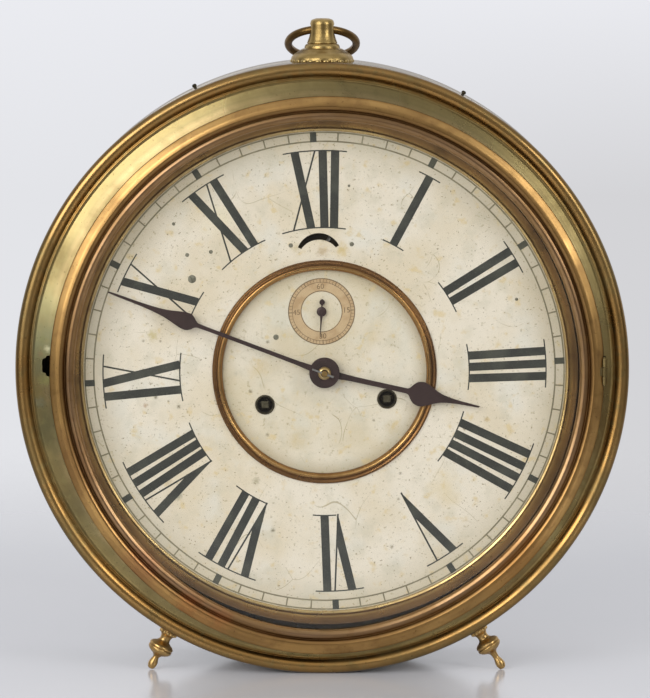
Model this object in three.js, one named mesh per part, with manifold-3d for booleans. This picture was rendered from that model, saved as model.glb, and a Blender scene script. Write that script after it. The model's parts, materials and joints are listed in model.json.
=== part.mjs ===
// Round lever clock in a drum case: brass front rim, hinged glazed door, painted dial and a
// movement with two mainsprings that drive one train. Millimetres, +Z up, the dial faces -Y.
// Depths along Y are measured from the groove of the front rim, towards the back.

import * as THREE from 'three';
import { mergeVertices } from 'three/addons/utils/BufferGeometryUtils.js';
import Module from 'manifold-3d';

const wasm = await Module();
wasm.setup();

const TURN = 2 * Math.PI;
const RIGHT_ANGLE = Math.PI / 2;
const FIT = 0.3;

// Case
const RIM_RADIUS = 187.3;
const RIM_BEAD = 4.35;
const GROOVE_RADIUS = 178.6;
const BAND_OUTER = 177.1;
const BAND_STEP = 1.2;
const SEAT_RADIUS = 164.6;
const BAND_SLOPE = 0.352;
const SHEET = 1.3;
const DRUM_RADIUS = 185;
const DRUM_WALL = 1;
const DRUM_FRONT = 2.7;
const REAR_EDGE = 95.6;
const REAR_PLATE_FRONT = 91.6;
const REAR_PLATE_THICKNESS = 1.2;
const FLANGE_INNER = 148.5;
const FLANGE_FRONT = 15.6;
const RING_STEPS = 40;
const INNER_STEPS = 36;

// Door
const DOOR_OFFSET = new THREE.Vector3(1.8, 0, -0.5);
const DOOR_RADIUS = 168.2;
const DOOR_FRONT = -9.6;
const DOOR_BACK = -6.1;
const DOOR_SIGHT = 153.7;
const GLASS_RADIUS = 159.6;
const GLASS_FRONT = -4.5;
const GLASS_BACK = -2.3;
const HINGE_DEPTH = -7.2;
const HINGE_REACH = 1.9;
const KNUCKLE_RADIUS = 1.5;
const KNUCKLE_LENGTH = 5.2;
const HINGE_PIN_RADIUS = 0.6;
const LATCH_HEIGHT = 13;
const LATCH_RISE = 1.8;
const LATCH_OUTER = 169.4;
const LATCH_STEP = 1.2;

// Dial, which sits a little low and turned in the case
const DIAL_OFFSET = new THREE.Vector3(1.4, 0, -2.8);
const DIAL_TURN = THREE.MathUtils.degToRad(2.75);
const DIAL_FRONT = 14;
const DIAL_SHEET = 1.2;
const DIAL_RADIUS = 156;
const DIAL_HOLE = 66;
const SURROUND_INNER = 147.8;
const SURROUND_OUTER = 157.2;
const CENTRE_PLATE_FRONT = DIAL_FRONT + DIAL_SHEET + FIT;
const CENTRE_PLATE_RADIUS = 68.4;
const SECONDS_HEIGHT = 37.2;
const SECONDS_OUTER = 20.5;
const SECONDS_INNER = 12.3;
const WINDING_X = 37.5;
const WINDING_Z = -18.6;
const GROMMET_OUTER = 6;
const GROMMET_BORE = 4.6;
const BALANCE_HEIGHT = 70;
const REGULATOR_RADIUS = 13.4;
const REGULATOR_SLOT_WIDTH = 3.3;
const REGULATOR_SLOT_HALF = THREE.MathUtils.degToRad(60);
const REGULATOR_REST = THREE.MathUtils.degToRad(31);

// Hands, as angles clockwise from twelve on the dial
const MINUTE_ANGLE = THREE.MathUtils.degToRad(293.4);
const HOUR_ANGLE = THREE.MathUtils.degToRad(105.3);
const SECONDS_ANGLE = THREE.MathUtils.degToRad(186);
const HAND_HUB_RADIUS = 9;
const MINUTE_HAND_DEPTH = 6.9;
const HOUR_HAND_DEPTH = 9.5;
const SECONDS_HAND_DEPTH = 13;

// Pendant and feet
const PENDANT_DEPTH = 23.5;
const PENDANT_TOP = 213.5;
const BOW_HEIGHT = 206.5;
const BOW_RADIUS = 20.75;
const BOW_WIRE = 2.1;
const BOW_SET = 0.7;
const BOW_HOLE = 3.15;
const FOOT_ANGLE = THREE.MathUtils.degToRad(31.5);
const FOOT_DEPTH = 13;
const FOOT_LEAN_LEFT = THREE.MathUtils.degToRad(18.4);
const FOOT_LEAN_RIGHT = THREE.MathUtils.degToRad(27.8);

// Movement
const PLATE_SHEET = 2;
const FRONT_PLATE_DEPTH = 28;
const BACK_PLATE_DEPTH = 62.5;
const PILLAR_PLACES = [[-56, -64], [56, -64], [-31, 86], [31, 86]];
const DIAL_FOOT_PLACES = [[-30, -66], [30, -66], [-26, 80], [26, 80]];
const PIVOT_RADIUS = 1;
const INTERMEDIATE_Z = -33.6;
const ARBOR_STEPS = 8;

// The train, from the mainsprings to the escape wheel: teeth of each wheel, leaves of each pinion
const LEAVES = 6;
const GREAT_TEETH = 36;
const INTERMEDIATE_TEETH = 30;
const CENTRE_TEETH = 48;
const THIRD_TEETH = 45;
const FOURTH_TEETH = 48;
const ESCAPE_TEETH = 15;
const MINUTE_WHEEL_TEETH = 18;
const HOUR_WHEEL_TEETH = 24;

const winding = { left: [-WINDING_X, WINDING_Z], right: [WINDING_X, WINDING_Z] };
const centrePlace = [0, 0];
const intermediatePlace = [0, INTERMEDIATE_Z];
const secondsPlace = [0, SECONDS_HEIGHT];
const balancePlace = [0, BALANCE_HEIGHT];

const THIRD_MODULE = 1;
const SECONDS_MODULE = 0.9;
const ESCAPE_MODULE = 0.8;
const thirdPlace = meetingPlace(
  centrePlace,
  pitchDistance(CENTRE_TEETH, LEAVES, THIRD_MODULE),
  secondsPlace,
  pitchDistance(THIRD_TEETH, LEAVES, SECONDS_MODULE),
);
const ESCAPE_BEARING = THREE.MathUtils.degToRad(146.5);
const escapePlace = placeFrom(secondsPlace, ESCAPE_BEARING, pitchDistance(FOURTH_TEETH, LEAVES, ESCAPE_MODULE));
const ESCAPE_RADIUS = 9;
const PALLET_DISTANCE = 10.4;
const palletPlace = placeFrom(escapePlace, bearing(escapePlace, balancePlace), PALLET_DISTANCE);
const MINUTE_WHEEL_DISTANCE = 20;
const MINUTE_WHEEL_BEARING = THREE.MathUtils.degToRad(225);
const minuteWheelPlace = placeFrom(centrePlace, MINUTE_WHEEL_BEARING, MINUTE_WHEEL_DISTANCE);

const finishes = {
  brass: finish('#907351', 0.35, 0.9),
  olive: finish('#75704c', 0.35, 0.9),
  copper: finish('#ae8d60', 0.35, 0.9),
  gold: finish('#a8875b', 0.35, 0.9),
  nickel: finish('#b4b2ac', 0.4, 0.9),
  steel: finish('#8b8b88', 0.35, 0.9),
  springSteel: finish('#4c5158', 0.35, 0.9),
  blackened: finish('#4b3c3a', 0.5, 0.5),
  dialPaint: finish('#d4cbae', 0.8, 0),
  paper: finish('#c9b28f', 0.9, 0),
  glass: finish('#e8efec', 0.05, 0, 0.3),
};

function finish(color, roughness, metalness, opacity = 1) {
  const transparent = opacity < 1;
  return new THREE.MeshStandardMaterial({ color, roughness, metalness, opacity, transparent, flatShading: true });
}

// Places on the dial plane are [x, z] pairs seen from the front; bearings run counter-clockwise from +X
function bearing(from, to) {
  return Math.atan2(to[1] - from[1], to[0] - from[0]);
}

function placeFrom(from, angle, distance) {
  return [from[0] + distance * Math.cos(angle), from[1] + distance * Math.sin(angle)];
}

// The place on the right that is at the given distances from two centres
function meetingPlace(a, distanceA, b, distanceB) {
  const apart = Math.hypot(b[0] - a[0], b[1] - a[1]);
  const along = (distanceA ** 2 - distanceB ** 2 + apart ** 2) / (2 * apart);
  const across = Math.sqrt(distanceA ** 2 - along ** 2);
  const line = bearing(a, b);
  return placeFrom(placeFrom(a, line, along), line - RIGHT_ANGLE, across);
}

function pitchDistance(teeth, leaves, module) {
  return ((teeth + leaves) * module) / 2;
}

// Merges shared corners, drops collapsed triangles and turns the faces outwards
function closed(geometry) {
  const bare = geometry.clone();
  bare.deleteAttribute('normal');
  bare.deleteAttribute('uv');
  const merged = mergeVertices(bare, 1e-4);
  const index = [];
  for (let i = 0; i < merged.index.count; i += 3) {
    const corners = [0, 1, 2].map((k) => merged.index.getX(i + k));
    if (new Set(corners).size === 3) {
      index.push(...corners);
    }
  }
  merged.setIndex(index);
  return signedVolume(merged) < 0 ? flipped(merged) : merged;
}

function signedVolume(geometry) {
  const [a, b, c] = [new THREE.Vector3(), new THREE.Vector3(), new THREE.Vector3()];
  const { position } = geometry.attributes;
  let volume = 0;
  for (let i = 0; i < geometry.index.count; i += 3) {
    a.fromBufferAttribute(position, geometry.index.getX(i));
    b.fromBufferAttribute(position, geometry.index.getX(i + 1));
    c.fromBufferAttribute(position, geometry.index.getX(i + 2));
    volume += a.dot(b.cross(c)) / 6;
  }
  return volume;
}

function flipped(geometry) {
  const index = Array.from(geometry.index.array);
  for (let i = 0; i < index.length; i += 3) {
    [index[i + 1], index[i + 2]] = [index[i + 2], index[i + 1]];
  }
  geometry.setIndex(index);
  return geometry;
}

function toManifold(geometry) {
  const whole = closed(geometry);
  const vertProperties = new Float32Array(whole.attributes.position.array);
  const triVerts = new Uint32Array(whole.index.array);
  return new wasm.Manifold(new wasm.Mesh({ numProp: 3, vertProperties, triVerts }));
}

function fromManifold(manifold) {
  const mesh = manifold.getMesh();
  const geometry = new THREE.BufferGeometry();
  geometry.setAttribute('position', new THREE.BufferAttribute(mesh.vertProperties, 3));
  geometry.setIndex(Array.from(mesh.triVerts));
  return geometry;
}

function joined(...geometries) {
  return fromManifold(geometries.map(toManifold).reduce((whole, next) => whole.add(next)));
}

function without(geometry, ...cutters) {
  return fromManifold(cutters.map(toManifold).reduce((whole, next) => whole.subtract(next), toManifold(geometry)));
}

// A ring or knob turned about the Y axis from a closed profile of [radius, depth] points
function turned(profile, steps = RING_STEPS) {
  const points = profile.map(([radius, depth]) => new THREE.Vector2(radius, depth));
  const [first] = points;
  const last = points[points.length - 1];
  if (first.x > 0 || last.x > 0) {
    points.push(first.clone());
  }
  return new THREE.LatheGeometry(points, steps);
}

// The same, standing along Z
function turnedUpright(profile, steps) {
  return turned(profile, steps).rotateX(RIGHT_ANGLE);
}

// A sheet with the given outline as seen from the front, from one depth to another
function sheet(shape, front, back, curveSegments = 6) {
  const geometry = new THREE.ExtrudeGeometry(shape, { depth: back - front, bevelEnabled: false, curveSegments });
  return geometry.rotateX(RIGHT_ANGLE).translate(0, back, 0);
}

function polygon(points) {
  return new THREE.Shape(points.map(([x, y]) => new THREE.Vector2(x, y)));
}

function circlePoints([x, z], radius, steps, turn = 0) {
  return Array.from({ length: steps }, (_, i) => {
    const angle = turn + (TURN * i) / steps;
    return new THREE.Vector2(x + radius * Math.cos(angle), z + radius * Math.sin(angle));
  });
}

function disc(place, radius, front, back, steps = ARBOR_STEPS) {
  return sheet(new THREE.Shape(circlePoints(place, radius, steps, Math.PI / steps)), front, back);
}

function holed(shape, holes) {
  holes.forEach(({ place, radius, steps = 6 }) => {
    shape.holes.push(new THREE.Path(circlePoints(place, radius, steps, Math.PI / steps)));
  });
  return shape;
}

function box([x0, x1], [y0, y1], [z0, z1]) {
  const geometry = new THREE.BoxGeometry(x1 - x0, y1 - y0, z1 - z0);
  return geometry.translate((x0 + x1) / 2, (y0 + y1) / 2, (z0 + z1) / 2);
}

function piece(name, geometry, material, place = [0, 0], turn = 0) {
  const mesh = new THREE.Mesh(closed(geometry), material);
  mesh.name = name;
  mesh.position.set(place[0], 0, place[1]);
  mesh.rotation.y = -turn;
  return mesh;
}

function group(...children) {
  const holder = new THREE.Group();
  holder.add(...children);
  return holder;
}

// Gear teeth are pointed wedges on a wheel and blunt leaves on a pinion, with working clearance.
// `phase` is the bearing of one tooth.
function wheelOutline(teeth, module, phase) {
  const pitchRadius = (teeth * module) / 2;
  const tip = pitchRadius + 0.9 * module;
  const root = pitchRadius - 1.25 * module;
  const halfBase = (0.3 * TURN) / teeth;
  const points = [];
  for (let i = 0; i < teeth; i += 1) {
    const angle = phase + (TURN * i) / teeth;
    points.push(placeFrom([0, 0], angle - halfBase, root));
    points.push(placeFrom([0, 0], angle, tip));
    points.push(placeFrom([0, 0], angle + halfBase, root));
  }
  return polygon(points);
}

function pinionOutline(leaves, module, phase) {
  const pitchRadius = (leaves * module) / 2;
  const tip = pitchRadius + 0.5 * module;
  const root = pitchRadius - 1.3 * module;
  const halfTip = (0.11 * TURN) / leaves;
  const halfBase = (0.17 * TURN) / leaves;
  const points = [];
  for (let i = 0; i < leaves; i += 1) {
    const angle = phase + (TURN * i) / leaves;
    points.push(placeFrom([0, 0], angle - halfBase, root));
    points.push(placeFrom([0, 0], angle - halfTip, tip));
    points.push(placeFrom([0, 0], angle + halfTip, tip));
    points.push(placeFrom([0, 0], angle + halfBase, root));
  }
  return polygon(points);
}

// Four crossings cut out of a wheel between its rim and its hub
function crossed(shape, inner, outer, arm) {
  for (let i = 0; i < 4; i += 1) {
    const middle = (i + 0.5) * RIGHT_ANGLE;
    const halfInner = RIGHT_ANGLE / 2 - arm / inner;
    const halfOuter = RIGHT_ANGLE / 2 - arm / outer;
    const corners = [
      placeFrom([0, 0], middle - halfInner, inner),
      placeFrom([0, 0], middle - halfOuter, outer),
      placeFrom([0, 0], middle + halfOuter, outer),
      placeFrom([0, 0], middle + halfInner, inner),
    ];
    shape.holes.push(new THREE.Path(corners.map(([x, y]) => new THREE.Vector2(x, y))));
  }
  return shape;
}

// The bearing of a tooth on the driven side that meshes with a gear whose tooth is at `phase`
function meshedPhase(phase, teeth, drivenTeeth, towards) {
  const pitch = TURN / teeth;
  const gap = phase + pitch / 2;
  const lead = gap - towards - pitch * Math.round((gap - towards) / pitch);
  return towards + Math.PI - (lead * teeth) / drivenTeeth;
}

// An arbor between the plates, with a thinner pivot through each plate
function arbor(radius, front = FRONT_PLATE_DEPTH, back = BACK_PLATE_DEPTH + PLATE_SHEET) {
  const body = [FRONT_PLATE_DEPTH + PLATE_SHEET + FIT, BACK_PLATE_DEPTH - FIT];
  return turned([
    [0, front],
    [PIVOT_RADIUS, front],
    [PIVOT_RADIUS, body[0]],
    [radius, body[0]],
    [radius, body[1]],
    [PIVOT_RADIUS, body[1]],
    [PIVOT_RADIUS, back],
    [0, back],
  ], 6);
}

// Case

function bandDepth(radius) {
  return -BAND_STEP - (BAND_OUTER - radius) * BAND_SLOPE;
}

function frontRim() {
  const beadCentre = RIM_RADIUS - RIM_BEAD;
  const bead = [-35, 0, 40, 80, 125].map((degrees) => {
    const angle = THREE.MathUtils.degToRad(degrees);
    return [beadCentre + RIM_BEAD * Math.cos(angle), -RIM_BEAD * Math.sin(angle)];
  });
  const sleeve = DRUM_RADIUS - DRUM_WALL - 0.4;
  const flangeBack = FLANGE_FRONT + SHEET;
  const wallBack = SEAT_RADIUS + SHEET;
  const rim = turned([
    [sleeve, 12],
    [sleeve, DRUM_FRONT - FIT],
    ...bead,
    [GROOVE_RADIUS, 0],
    [BAND_OUTER, -BAND_STEP],
    [SEAT_RADIUS, bandDepth(SEAT_RADIUS)],
    [SEAT_RADIUS, FLANGE_FRONT],
    [FLANGE_INNER, FLANGE_FRONT],
    [FLANGE_INNER, flangeBack],
    [wallBack, flangeBack],
    [wallBack, bandDepth(wallBack) + SHEET],
    [sleeve - SHEET, SHEET],
    [sleeve - SHEET, 12],
  ]);
  const hingeX = DOOR_OFFSET.x + DOOR_RADIUS + HINGE_REACH;
  const hingeSlot = box([hingeX - 0.95, hingeX + 0.95], [-6, 2], [-8.7, 8.7]);
  return without(rim, ...latchHole(), hingeSlot);
}

// The slot for the door catch at nine o'clock, wider in the middle
function latchHole() {
  const depths = [bandDepth(SEAT_RADIUS) - 2, 3];
  const half = LATCH_HEIGHT / 2;
  return [
    box([-LATCH_OUTER, -SEAT_RADIUS + 3], depths, [LATCH_RISE - half, LATCH_RISE + half]),
    box([-LATCH_OUTER - LATCH_STEP, -LATCH_OUTER + 1], depths, [LATCH_RISE - 2.6, LATCH_RISE + 2.6]),
  ];
}

function drum() {
  const inner = DRUM_RADIUS - DRUM_WALL;
  return turned([
    [inner, DRUM_FRONT],
    [DRUM_RADIUS, DRUM_FRONT],
    [DRUM_RADIUS, REAR_EDGE - 5],
    [RIM_RADIUS, REAR_EDGE - 3],
    [DRUM_RADIUS, REAR_EDGE],
    [inner, REAR_EDGE - 1],
  ]);
}

function rearPlate() {
  const radius = DRUM_RADIUS - DRUM_WALL - 0.8;
  return disc([0, 0], radius, REAR_PLATE_FRONT, REAR_PLATE_FRONT + REAR_PLATE_THICKNESS, INNER_STEPS);
}

// Door: two beads round the glass, a skirt that enters the rim, and the hinge's middle knuckle
function doorBezel() {
  const skirt = 162;
  const ring = turned([
    [DOOR_RADIUS, DOOR_BACK],
    [DOOR_RADIUS - 0.6, -8.2],
    [165, DOOR_FRONT],
    [162.2, -8.6],
    [160.4, -6.7],
    [159, -7.9],
    [156.6, -8.4],
    [DOOR_SIGHT, -6.4],
    [DOOR_SIGHT, GLASS_FRONT - FIT],
    [GLASS_RADIUS + 0.6, GLASS_FRONT - FIT],
    [GLASS_RADIUS + 0.6, 1],
    [skirt, 1],
    [skirt, DOOR_BACK],
  ]);
  const axis = DOOR_RADIUS + HINGE_REACH;
  const leaf = box([DOOR_RADIUS - 1.5, axis], [HINGE_DEPTH - 0.6, HINGE_DEPTH + 0.6], [-2.6, 2.6]);
  return without(joined(ring, leaf, knuckle(axis, -KNUCKLE_LENGTH / 2)), knuckleBore(axis));
}

function knuckle(x, low) {
  const geometry = new THREE.CylinderGeometry(KNUCKLE_RADIUS, KNUCKLE_RADIUS, KNUCKLE_LENGTH, 8);
  return geometry.rotateX(RIGHT_ANGLE).translate(x, HINGE_DEPTH, low + KNUCKLE_LENGTH / 2);
}

function knuckleBore(x) {
  const radius = HINGE_PIN_RADIUS + FIT;
  const geometry = new THREE.CylinderGeometry(radius, radius, 4 * KNUCKLE_LENGTH, 6);
  return geometry.rotateX(RIGHT_ANGLE).translate(x, HINGE_DEPTH, 0);
}

// The leaf that stands in a slot of the band, with two knuckles that take the door's one between them
function hingeLeaf() {
  const low = -1.5 * KNUCKLE_LENGTH - FIT;
  const high = -low;
  const ear = HINGE_DEPTH + 0.5;
  const root = HINGE_DEPTH + KNUCKLE_RADIUS + 0.5;
  const stalks = [
    box([-0.6, 0.6], [ear, root + 0.5], [low, low + KNUCKLE_LENGTH]),
    box([-0.6, 0.6], [ear, root + 0.5], [high - KNUCKLE_LENGTH, high]),
  ];
  const blade = box([-0.6, 0.6], [root, 1.5], [low, high]);
  const leaf = joined(blade, ...stalks, knuckle(0, low), knuckle(0, high - KNUCKLE_LENGTH));
  return without(leaf, knuckleBore(0));
}

function hingePin() {
  const length = 3 * KNUCKLE_LENGTH + 2 * FIT + 1.6;
  const geometry = new THREE.CylinderGeometry(HINGE_PIN_RADIUS, HINGE_PIN_RADIUS, length, 6);
  return geometry.rotateX(RIGHT_ANGLE).translate(0, HINGE_DEPTH, 0);
}

// The nose on the skirt that stands in the latch hole; it is drawn along Z
function doorCatch() {
  const outline = polygon([[-162.3, -5], [-163.4, -5.6], [-166.8, -3], [-166.8, -2], [-162.3, 0.6]]);
  const geometry = new THREE.ExtrudeGeometry(outline, { depth: 9, bevelEnabled: false });
  return geometry.translate(0, 0, LATCH_RISE - 4);
}

function hingeGroup() {
  const pin = piece('hinge_pin', hingePin(), finishes.steel);
  const holder = group(piece('hinge_leaf', hingeLeaf(), finishes.brass), pin);
  holder.position.set(DOOR_OFFSET.x + DOOR_RADIUS + HINGE_REACH, 0, DOOR_OFFSET.z);
  return holder;
}

function doorGroup() {
  const glass = disc([0, 0], GLASS_RADIUS, GLASS_FRONT, GLASS_BACK, INNER_STEPS);
  const holder = group(
    piece('door_bezel', doorBezel(), finishes.copper),
    piece('door_glass', glass, finishes.glass),
    piece('door_catch', doorCatch(), finishes.steel),
  );
  holder.position.copy(DOOR_OFFSET);
  return holder;
}

// Dial

function dialSurround() {
  const foot = DIAL_FRONT - FIT;
  return turned([
    [SURROUND_INNER, foot],
    [SURROUND_INNER + 0.8, foot - 1.4],
    [SURROUND_OUTER - 0.8, 4.6],
    [SURROUND_OUTER, 5.4],
    [SURROUND_INNER + 2.6, foot],
  ], INNER_STEPS);
}

function regulatorSlot() {
  const slot = new THREE.Path();
  const inner = REGULATOR_RADIUS - REGULATOR_SLOT_WIDTH / 2;
  const outer = REGULATOR_RADIUS + REGULATOR_SLOT_WIDTH / 2;
  const start = RIGHT_ANGLE - REGULATOR_SLOT_HALF;
  const end = RIGHT_ANGLE + REGULATOR_SLOT_HALF;
  slot.absarc(...balancePlace, outer, start, end, false);
  slot.absarc(...balancePlace, inner, end, start, true);
  return slot;
}

function dialPlate() {
  const outline = new THREE.Shape(circlePoints([0, 0], DIAL_RADIUS, INNER_STEPS));
  outline.holes.push(new THREE.Path(circlePoints([0, 0], DIAL_HOLE, 32)));
  outline.holes.push(regulatorSlot());
  return sheet(outline, DIAL_FRONT, DIAL_FRONT + DIAL_SHEET);
}

function centrePlate() {
  const outline = new THREE.Shape(circlePoints([0, 0], CENTRE_PLATE_RADIUS, 32));
  const grommetHole = GROMMET_OUTER - 0.5;
  const shape = holed(outline, [
    { place: [0, 0], radius: 5.4, steps: 12 },
    { place: secondsPlace, radius: 2.2, steps: 8 },
    { place: winding.left, radius: grommetHole, steps: 12 },
    { place: winding.right, radius: grommetHole, steps: 12 },
  ]);
  return sheet(shape, CENTRE_PLATE_FRONT, CENTRE_PLATE_FRONT + DIAL_SHEET);
}

function centreRing() {
  const foot = DIAL_FRONT - FIT;
  const deepFoot = CENTRE_PLATE_FRONT - FIT;
  return turned([
    [68.9, foot],
    [67.6, 12],
    [65.7, 11.4],
    [63.4, 12.6],
    [62.5, deepFoot],
    [DIAL_HOLE - 0.8, deepFoot],
    [DIAL_HOLE - 0.8, foot],
  ], 32);
}

function secondsRing() {
  const back = CENTRE_PLATE_FRONT - FIT;
  return turned([
    [SECONDS_OUTER, back],
    [SECONDS_OUTER, back - 0.5],
    [SECONDS_INNER, back - 0.5],
    [SECONDS_INNER, back],
  ], 16);
}

function grommet() {
  const flange = CENTRE_PLATE_FRONT - FIT;
  const tube = GROMMET_OUTER - 0.9;
  return turned([
    [GROMMET_OUTER, flange],
    [GROMMET_OUTER - 0.5, flange - 0.8],
    [GROMMET_BORE, flange - 0.4],
    [GROMMET_BORE, 18],
    [tube, 18],
    [tube, flange],
  ], 10);
}

// Hands: a round hub, a slim shaft, a pear-shaped swelling and a long point.
// `widths` lists [distance from the hub, half width] out to the tip.
function handOutline(widths, hub, bore) {
  const [, rootHalf] = widths[0];
  const spread = Math.asin(rootHalf / hub);
  const steps = 10;
  const points = widths.map(([reach, half]) => [half, reach]);
  for (let i = widths.length - 2; i >= 0; i -= 1) {
    points.push([-widths[i][1], widths[i][0]]);
  }
  for (let i = 1; i < steps; i += 1) {
    const angle = RIGHT_ANGLE + spread + ((TURN - 2 * spread) * i) / steps;
    points.push(placeFrom([0, 0], angle, hub));
  }
  return holed(polygon(points), [{ place: [0, 0], radius: bore, steps: 12 }]);
}

function minuteHand() {
  const widths = [
    [HAND_HUB_RADIUS, 1.9], [20, 1.3], [80, 1.2], [84, 2], [88, 4.6],
    [91, 5.2], [96, 4.3], [104, 2.3], [120, 1], [141.5, 0],
  ];
  return sheet(handOutline(widths, HAND_HUB_RADIUS, 3.3), MINUTE_HAND_DEPTH, MINUTE_HAND_DEPTH + 0.7);
}

function hourHand() {
  const widths = [
    [HAND_HUB_RADIUS, 2.2], [18, 1.6], [52, 1.6], [55, 3], [58, 6.6],
    [61.5, 7.6], [66, 6], [73, 2.8], [82, 1.3], [97.6, 0],
  ];
  return sheet(handOutline(widths, HAND_HUB_RADIUS, 4.9), HOUR_HAND_DEPTH, HOUR_HAND_DEPTH + 0.9);
}

function secondsHand() {
  const tip = [[3, 0.8], [6, 0.5], [15.8, 0]];
  const tail = [[-0.5, -2.9], [-0.5, -4], [-1.7, -5.6], [0, -7.8], [1.7, -5.6], [0.5, -4], [0.5, -2.9]];
  const left = tip.slice(0, 2).reverse().map(([reach, half]) => [-half, reach]);
  const right = tip.map(([reach, half]) => [half, reach]);
  const sides = [[-2.7, 1.4], [-3, 0], [-2.7, -1.4]];
  const mirrored = sides.map(([x, y]) => [-x, y]).reverse();
  const outline = polygon([...right, ...left, ...sides, ...tail, ...mirrored]);
  const shape = holed(outline, [{ place: [0, 0], radius: 1.55 }]);
  return sheet(shape, SECONDS_HAND_DEPTH, SECONDS_HAND_DEPTH + 0.5);
}

// The boss on the centre arbor that presses on the minute hand
function handCollet() {
  return turned([
    [4, MINUTE_HAND_DEPTH - FIT],
    [4, 5],
    [2.9, 4.2],
    [2.3, 3.9],
    [2.3, MINUTE_HAND_DEPTH - FIT],
  ], 12);
}

function taperPin() {
  const geometry = new THREE.CylinderGeometry(0.55, 0.8, 14, 8);
  return geometry.rotateX(RIGHT_ANGLE).translate(0, 2.7, 1);
}

// Pendant, bow and feet

function drumCutter() {
  const radius = DRUM_RADIUS + FIT;
  return turned([[0, -10], [radius, -10], [radius, 110], [0, 110]]);
}

function pendantBase() {
  const drumTop = DRUM_RADIUS;
  const profile = [
    [0, drumTop - 3],
    [18.75, drumTop - 3],
    [18.75, drumTop + 1],
    [17.2, drumTop + 2.6],
    [16.35, drumTop + 3],
    [15.6, drumTop + 4],
    [11.5, drumTop + 6.2],
    [9, drumTop + 8.2],
    [0, drumTop + 8.2],
  ];
  const whole = turnedUpright(profile.map(([radius, height]) => [radius, -height]), 20);
  return without(whole.scale(1, 1, -1), drumCutter().translate(0, -PENDANT_DEPTH, 0));
}

function pendantNeck() {
  const collar = DRUM_RADIUS + 8.2 + FIT;
  const profile = [
    [0, collar],
    [10, collar],
    [10.9, collar + 1.4],
    [10, collar + 2.9],
    [8.75, collar + 3.6],
    [7.5, BOW_HEIGHT - 4],
    [7.3, PENDANT_TOP - 3.2],
    [5.6, PENDANT_TOP - 1.4],
    [2, PENDANT_TOP - 1],
    [1.8, PENDANT_TOP],
    [0, PENDANT_TOP],
  ];
  const neck = turned(profile, 16).rotateX(RIGHT_ANGLE);
  const hole = new THREE.CylinderGeometry(BOW_HOLE, BOW_HOLE, 30, 10);
  return without(neck, hole.rotateZ(RIGHT_ANGLE).translate(0, 0, BOW_HEIGHT));
}

// The ring lies back on the drum; its wire passes through the hole in the neck
function bow() {
  return new THREE.TorusGeometry(BOW_RADIUS, BOW_WIRE, 6, 20).translate(0, BOW_RADIUS - BOW_SET, 0);
}

function bowRestAngle() {
  const drop = BOW_HEIGHT - DRUM_RADIUS - BOW_WIRE - 0.5;
  return Math.asin(drop / (2 * BOW_RADIUS - BOW_SET));
}

function pendantGroup() {
  const ring = piece('bow', bow(), finishes.copper);
  ring.position.z = BOW_HEIGHT;
  ring.rotation.x = -bowRestAngle();
  const holder = group(
    piece('pendant_base', pendantBase(), finishes.brass),
    piece('pendant_neck', pendantNeck(), finishes.brass),
    ring,
  );
  holder.position.y = PENDANT_DEPTH;
  return holder;
}

// A turned foot that leans outwards from the drum to the floor
function footPiece(name, side, lean) {
  const top = new THREE.Vector3(side * DRUM_RADIUS * Math.sin(FOOT_ANGLE), FOOT_DEPTH, -DRUM_RADIUS * Math.cos(FOOT_ANGLE));
  const direction = new THREE.Vector3(side * Math.sin(lean), 0, -Math.cos(lean));
  const reach = (RIM_RADIUS + top.z) / Math.cos(lean);
  const profile = [
    [0, -4],
    [5, -4],
    [5, 2.4],
    [2.8, 6.4],
    [4, 9],
    [8, 10.8],
    [7, 13.4],
    [4.6, 17],
    [1.9, 20.4],
    [1.8, reach - 7.6],
    [2.95, reach - 5],
    [2, reach - 1.2],
    [1.2, reach + 0.8],
    [0, reach + 0.8],
  ];
  const holder = new THREE.Object3D();
  holder.position.copy(top);
  holder.quaternion.setFromUnitVectors(new THREE.Vector3(0, 1, 0), direction);
  holder.updateMatrix();
  const inverse = holder.matrix.clone().invert();
  const floor = box([-400, 400], [-400, 400], [-RIM_RADIUS - 20, -RIM_RADIUS]);
  const foot = without(turned(profile, 10), drumCutter().applyMatrix4(inverse), floor.applyMatrix4(inverse));
  const mesh = new THREE.Mesh(closed(foot), finishes.brass);
  mesh.name = name;
  mesh.position.copy(holder.position);
  mesh.quaternion.copy(holder.quaternion);
  return mesh;
}

// Movement

function plateOutline() {
  return polygon([
    [-64, -68], [-60, -72], [60, -72], [64, -68], [64, 40], [38, 62],
    [38, 90], [34, 94], [-34, 94], [-38, 90], [-38, 62], [-64, 40],
  ]);
}

function pivotHoles(places) {
  return places.map((place) => ({ place, radius: PIVOT_RADIUS + 0.45 }));
}

const trainPlaces = [intermediatePlace, thirdPlace, escapePlace, palletPlace];
const windingHoles = Object.values(winding).map((place) => ({ place, radius: 3.9, steps: 8 }));

// The front plate also carries the boss that the regulator turns on and the hairspring's stud
function frontPlate() {
  const back = FRONT_PLATE_DEPTH + PLATE_SHEET;
  const shape = holed(plateOutline(), [
    ...pivotHoles([...trainPlaces, minuteWheelPlace]),
    ...windingHoles,
    { place: centrePlace, radius: 2.6, steps: 8 },
    { place: secondsPlace, radius: 1.8, steps: 8 },
  ]);
  const studPlace = placeFrom(balancePlace, 0, 11.6);
  const plate = joined(
    sheet(shape, FRONT_PLATE_DEPTH, back),
    disc(balancePlace, 3.4, 25.6, FRONT_PLATE_DEPTH + 0.5, 10),
    disc(studPlace, 1, back - 0.5, back + 2.4, 6),
  );
  return without(plate, disc(balancePlace, PIVOT_RADIUS + 0.45, 20, 40, 6));
}

function backPlate() {
  const shape = holed(plateOutline(), [
    ...pivotHoles([...trainPlaces, secondsPlace, centrePlace]),
    ...windingHoles,
  ]);
  return sheet(shape, BACK_PLATE_DEPTH, BACK_PLATE_DEPTH + PLATE_SHEET);
}

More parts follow.
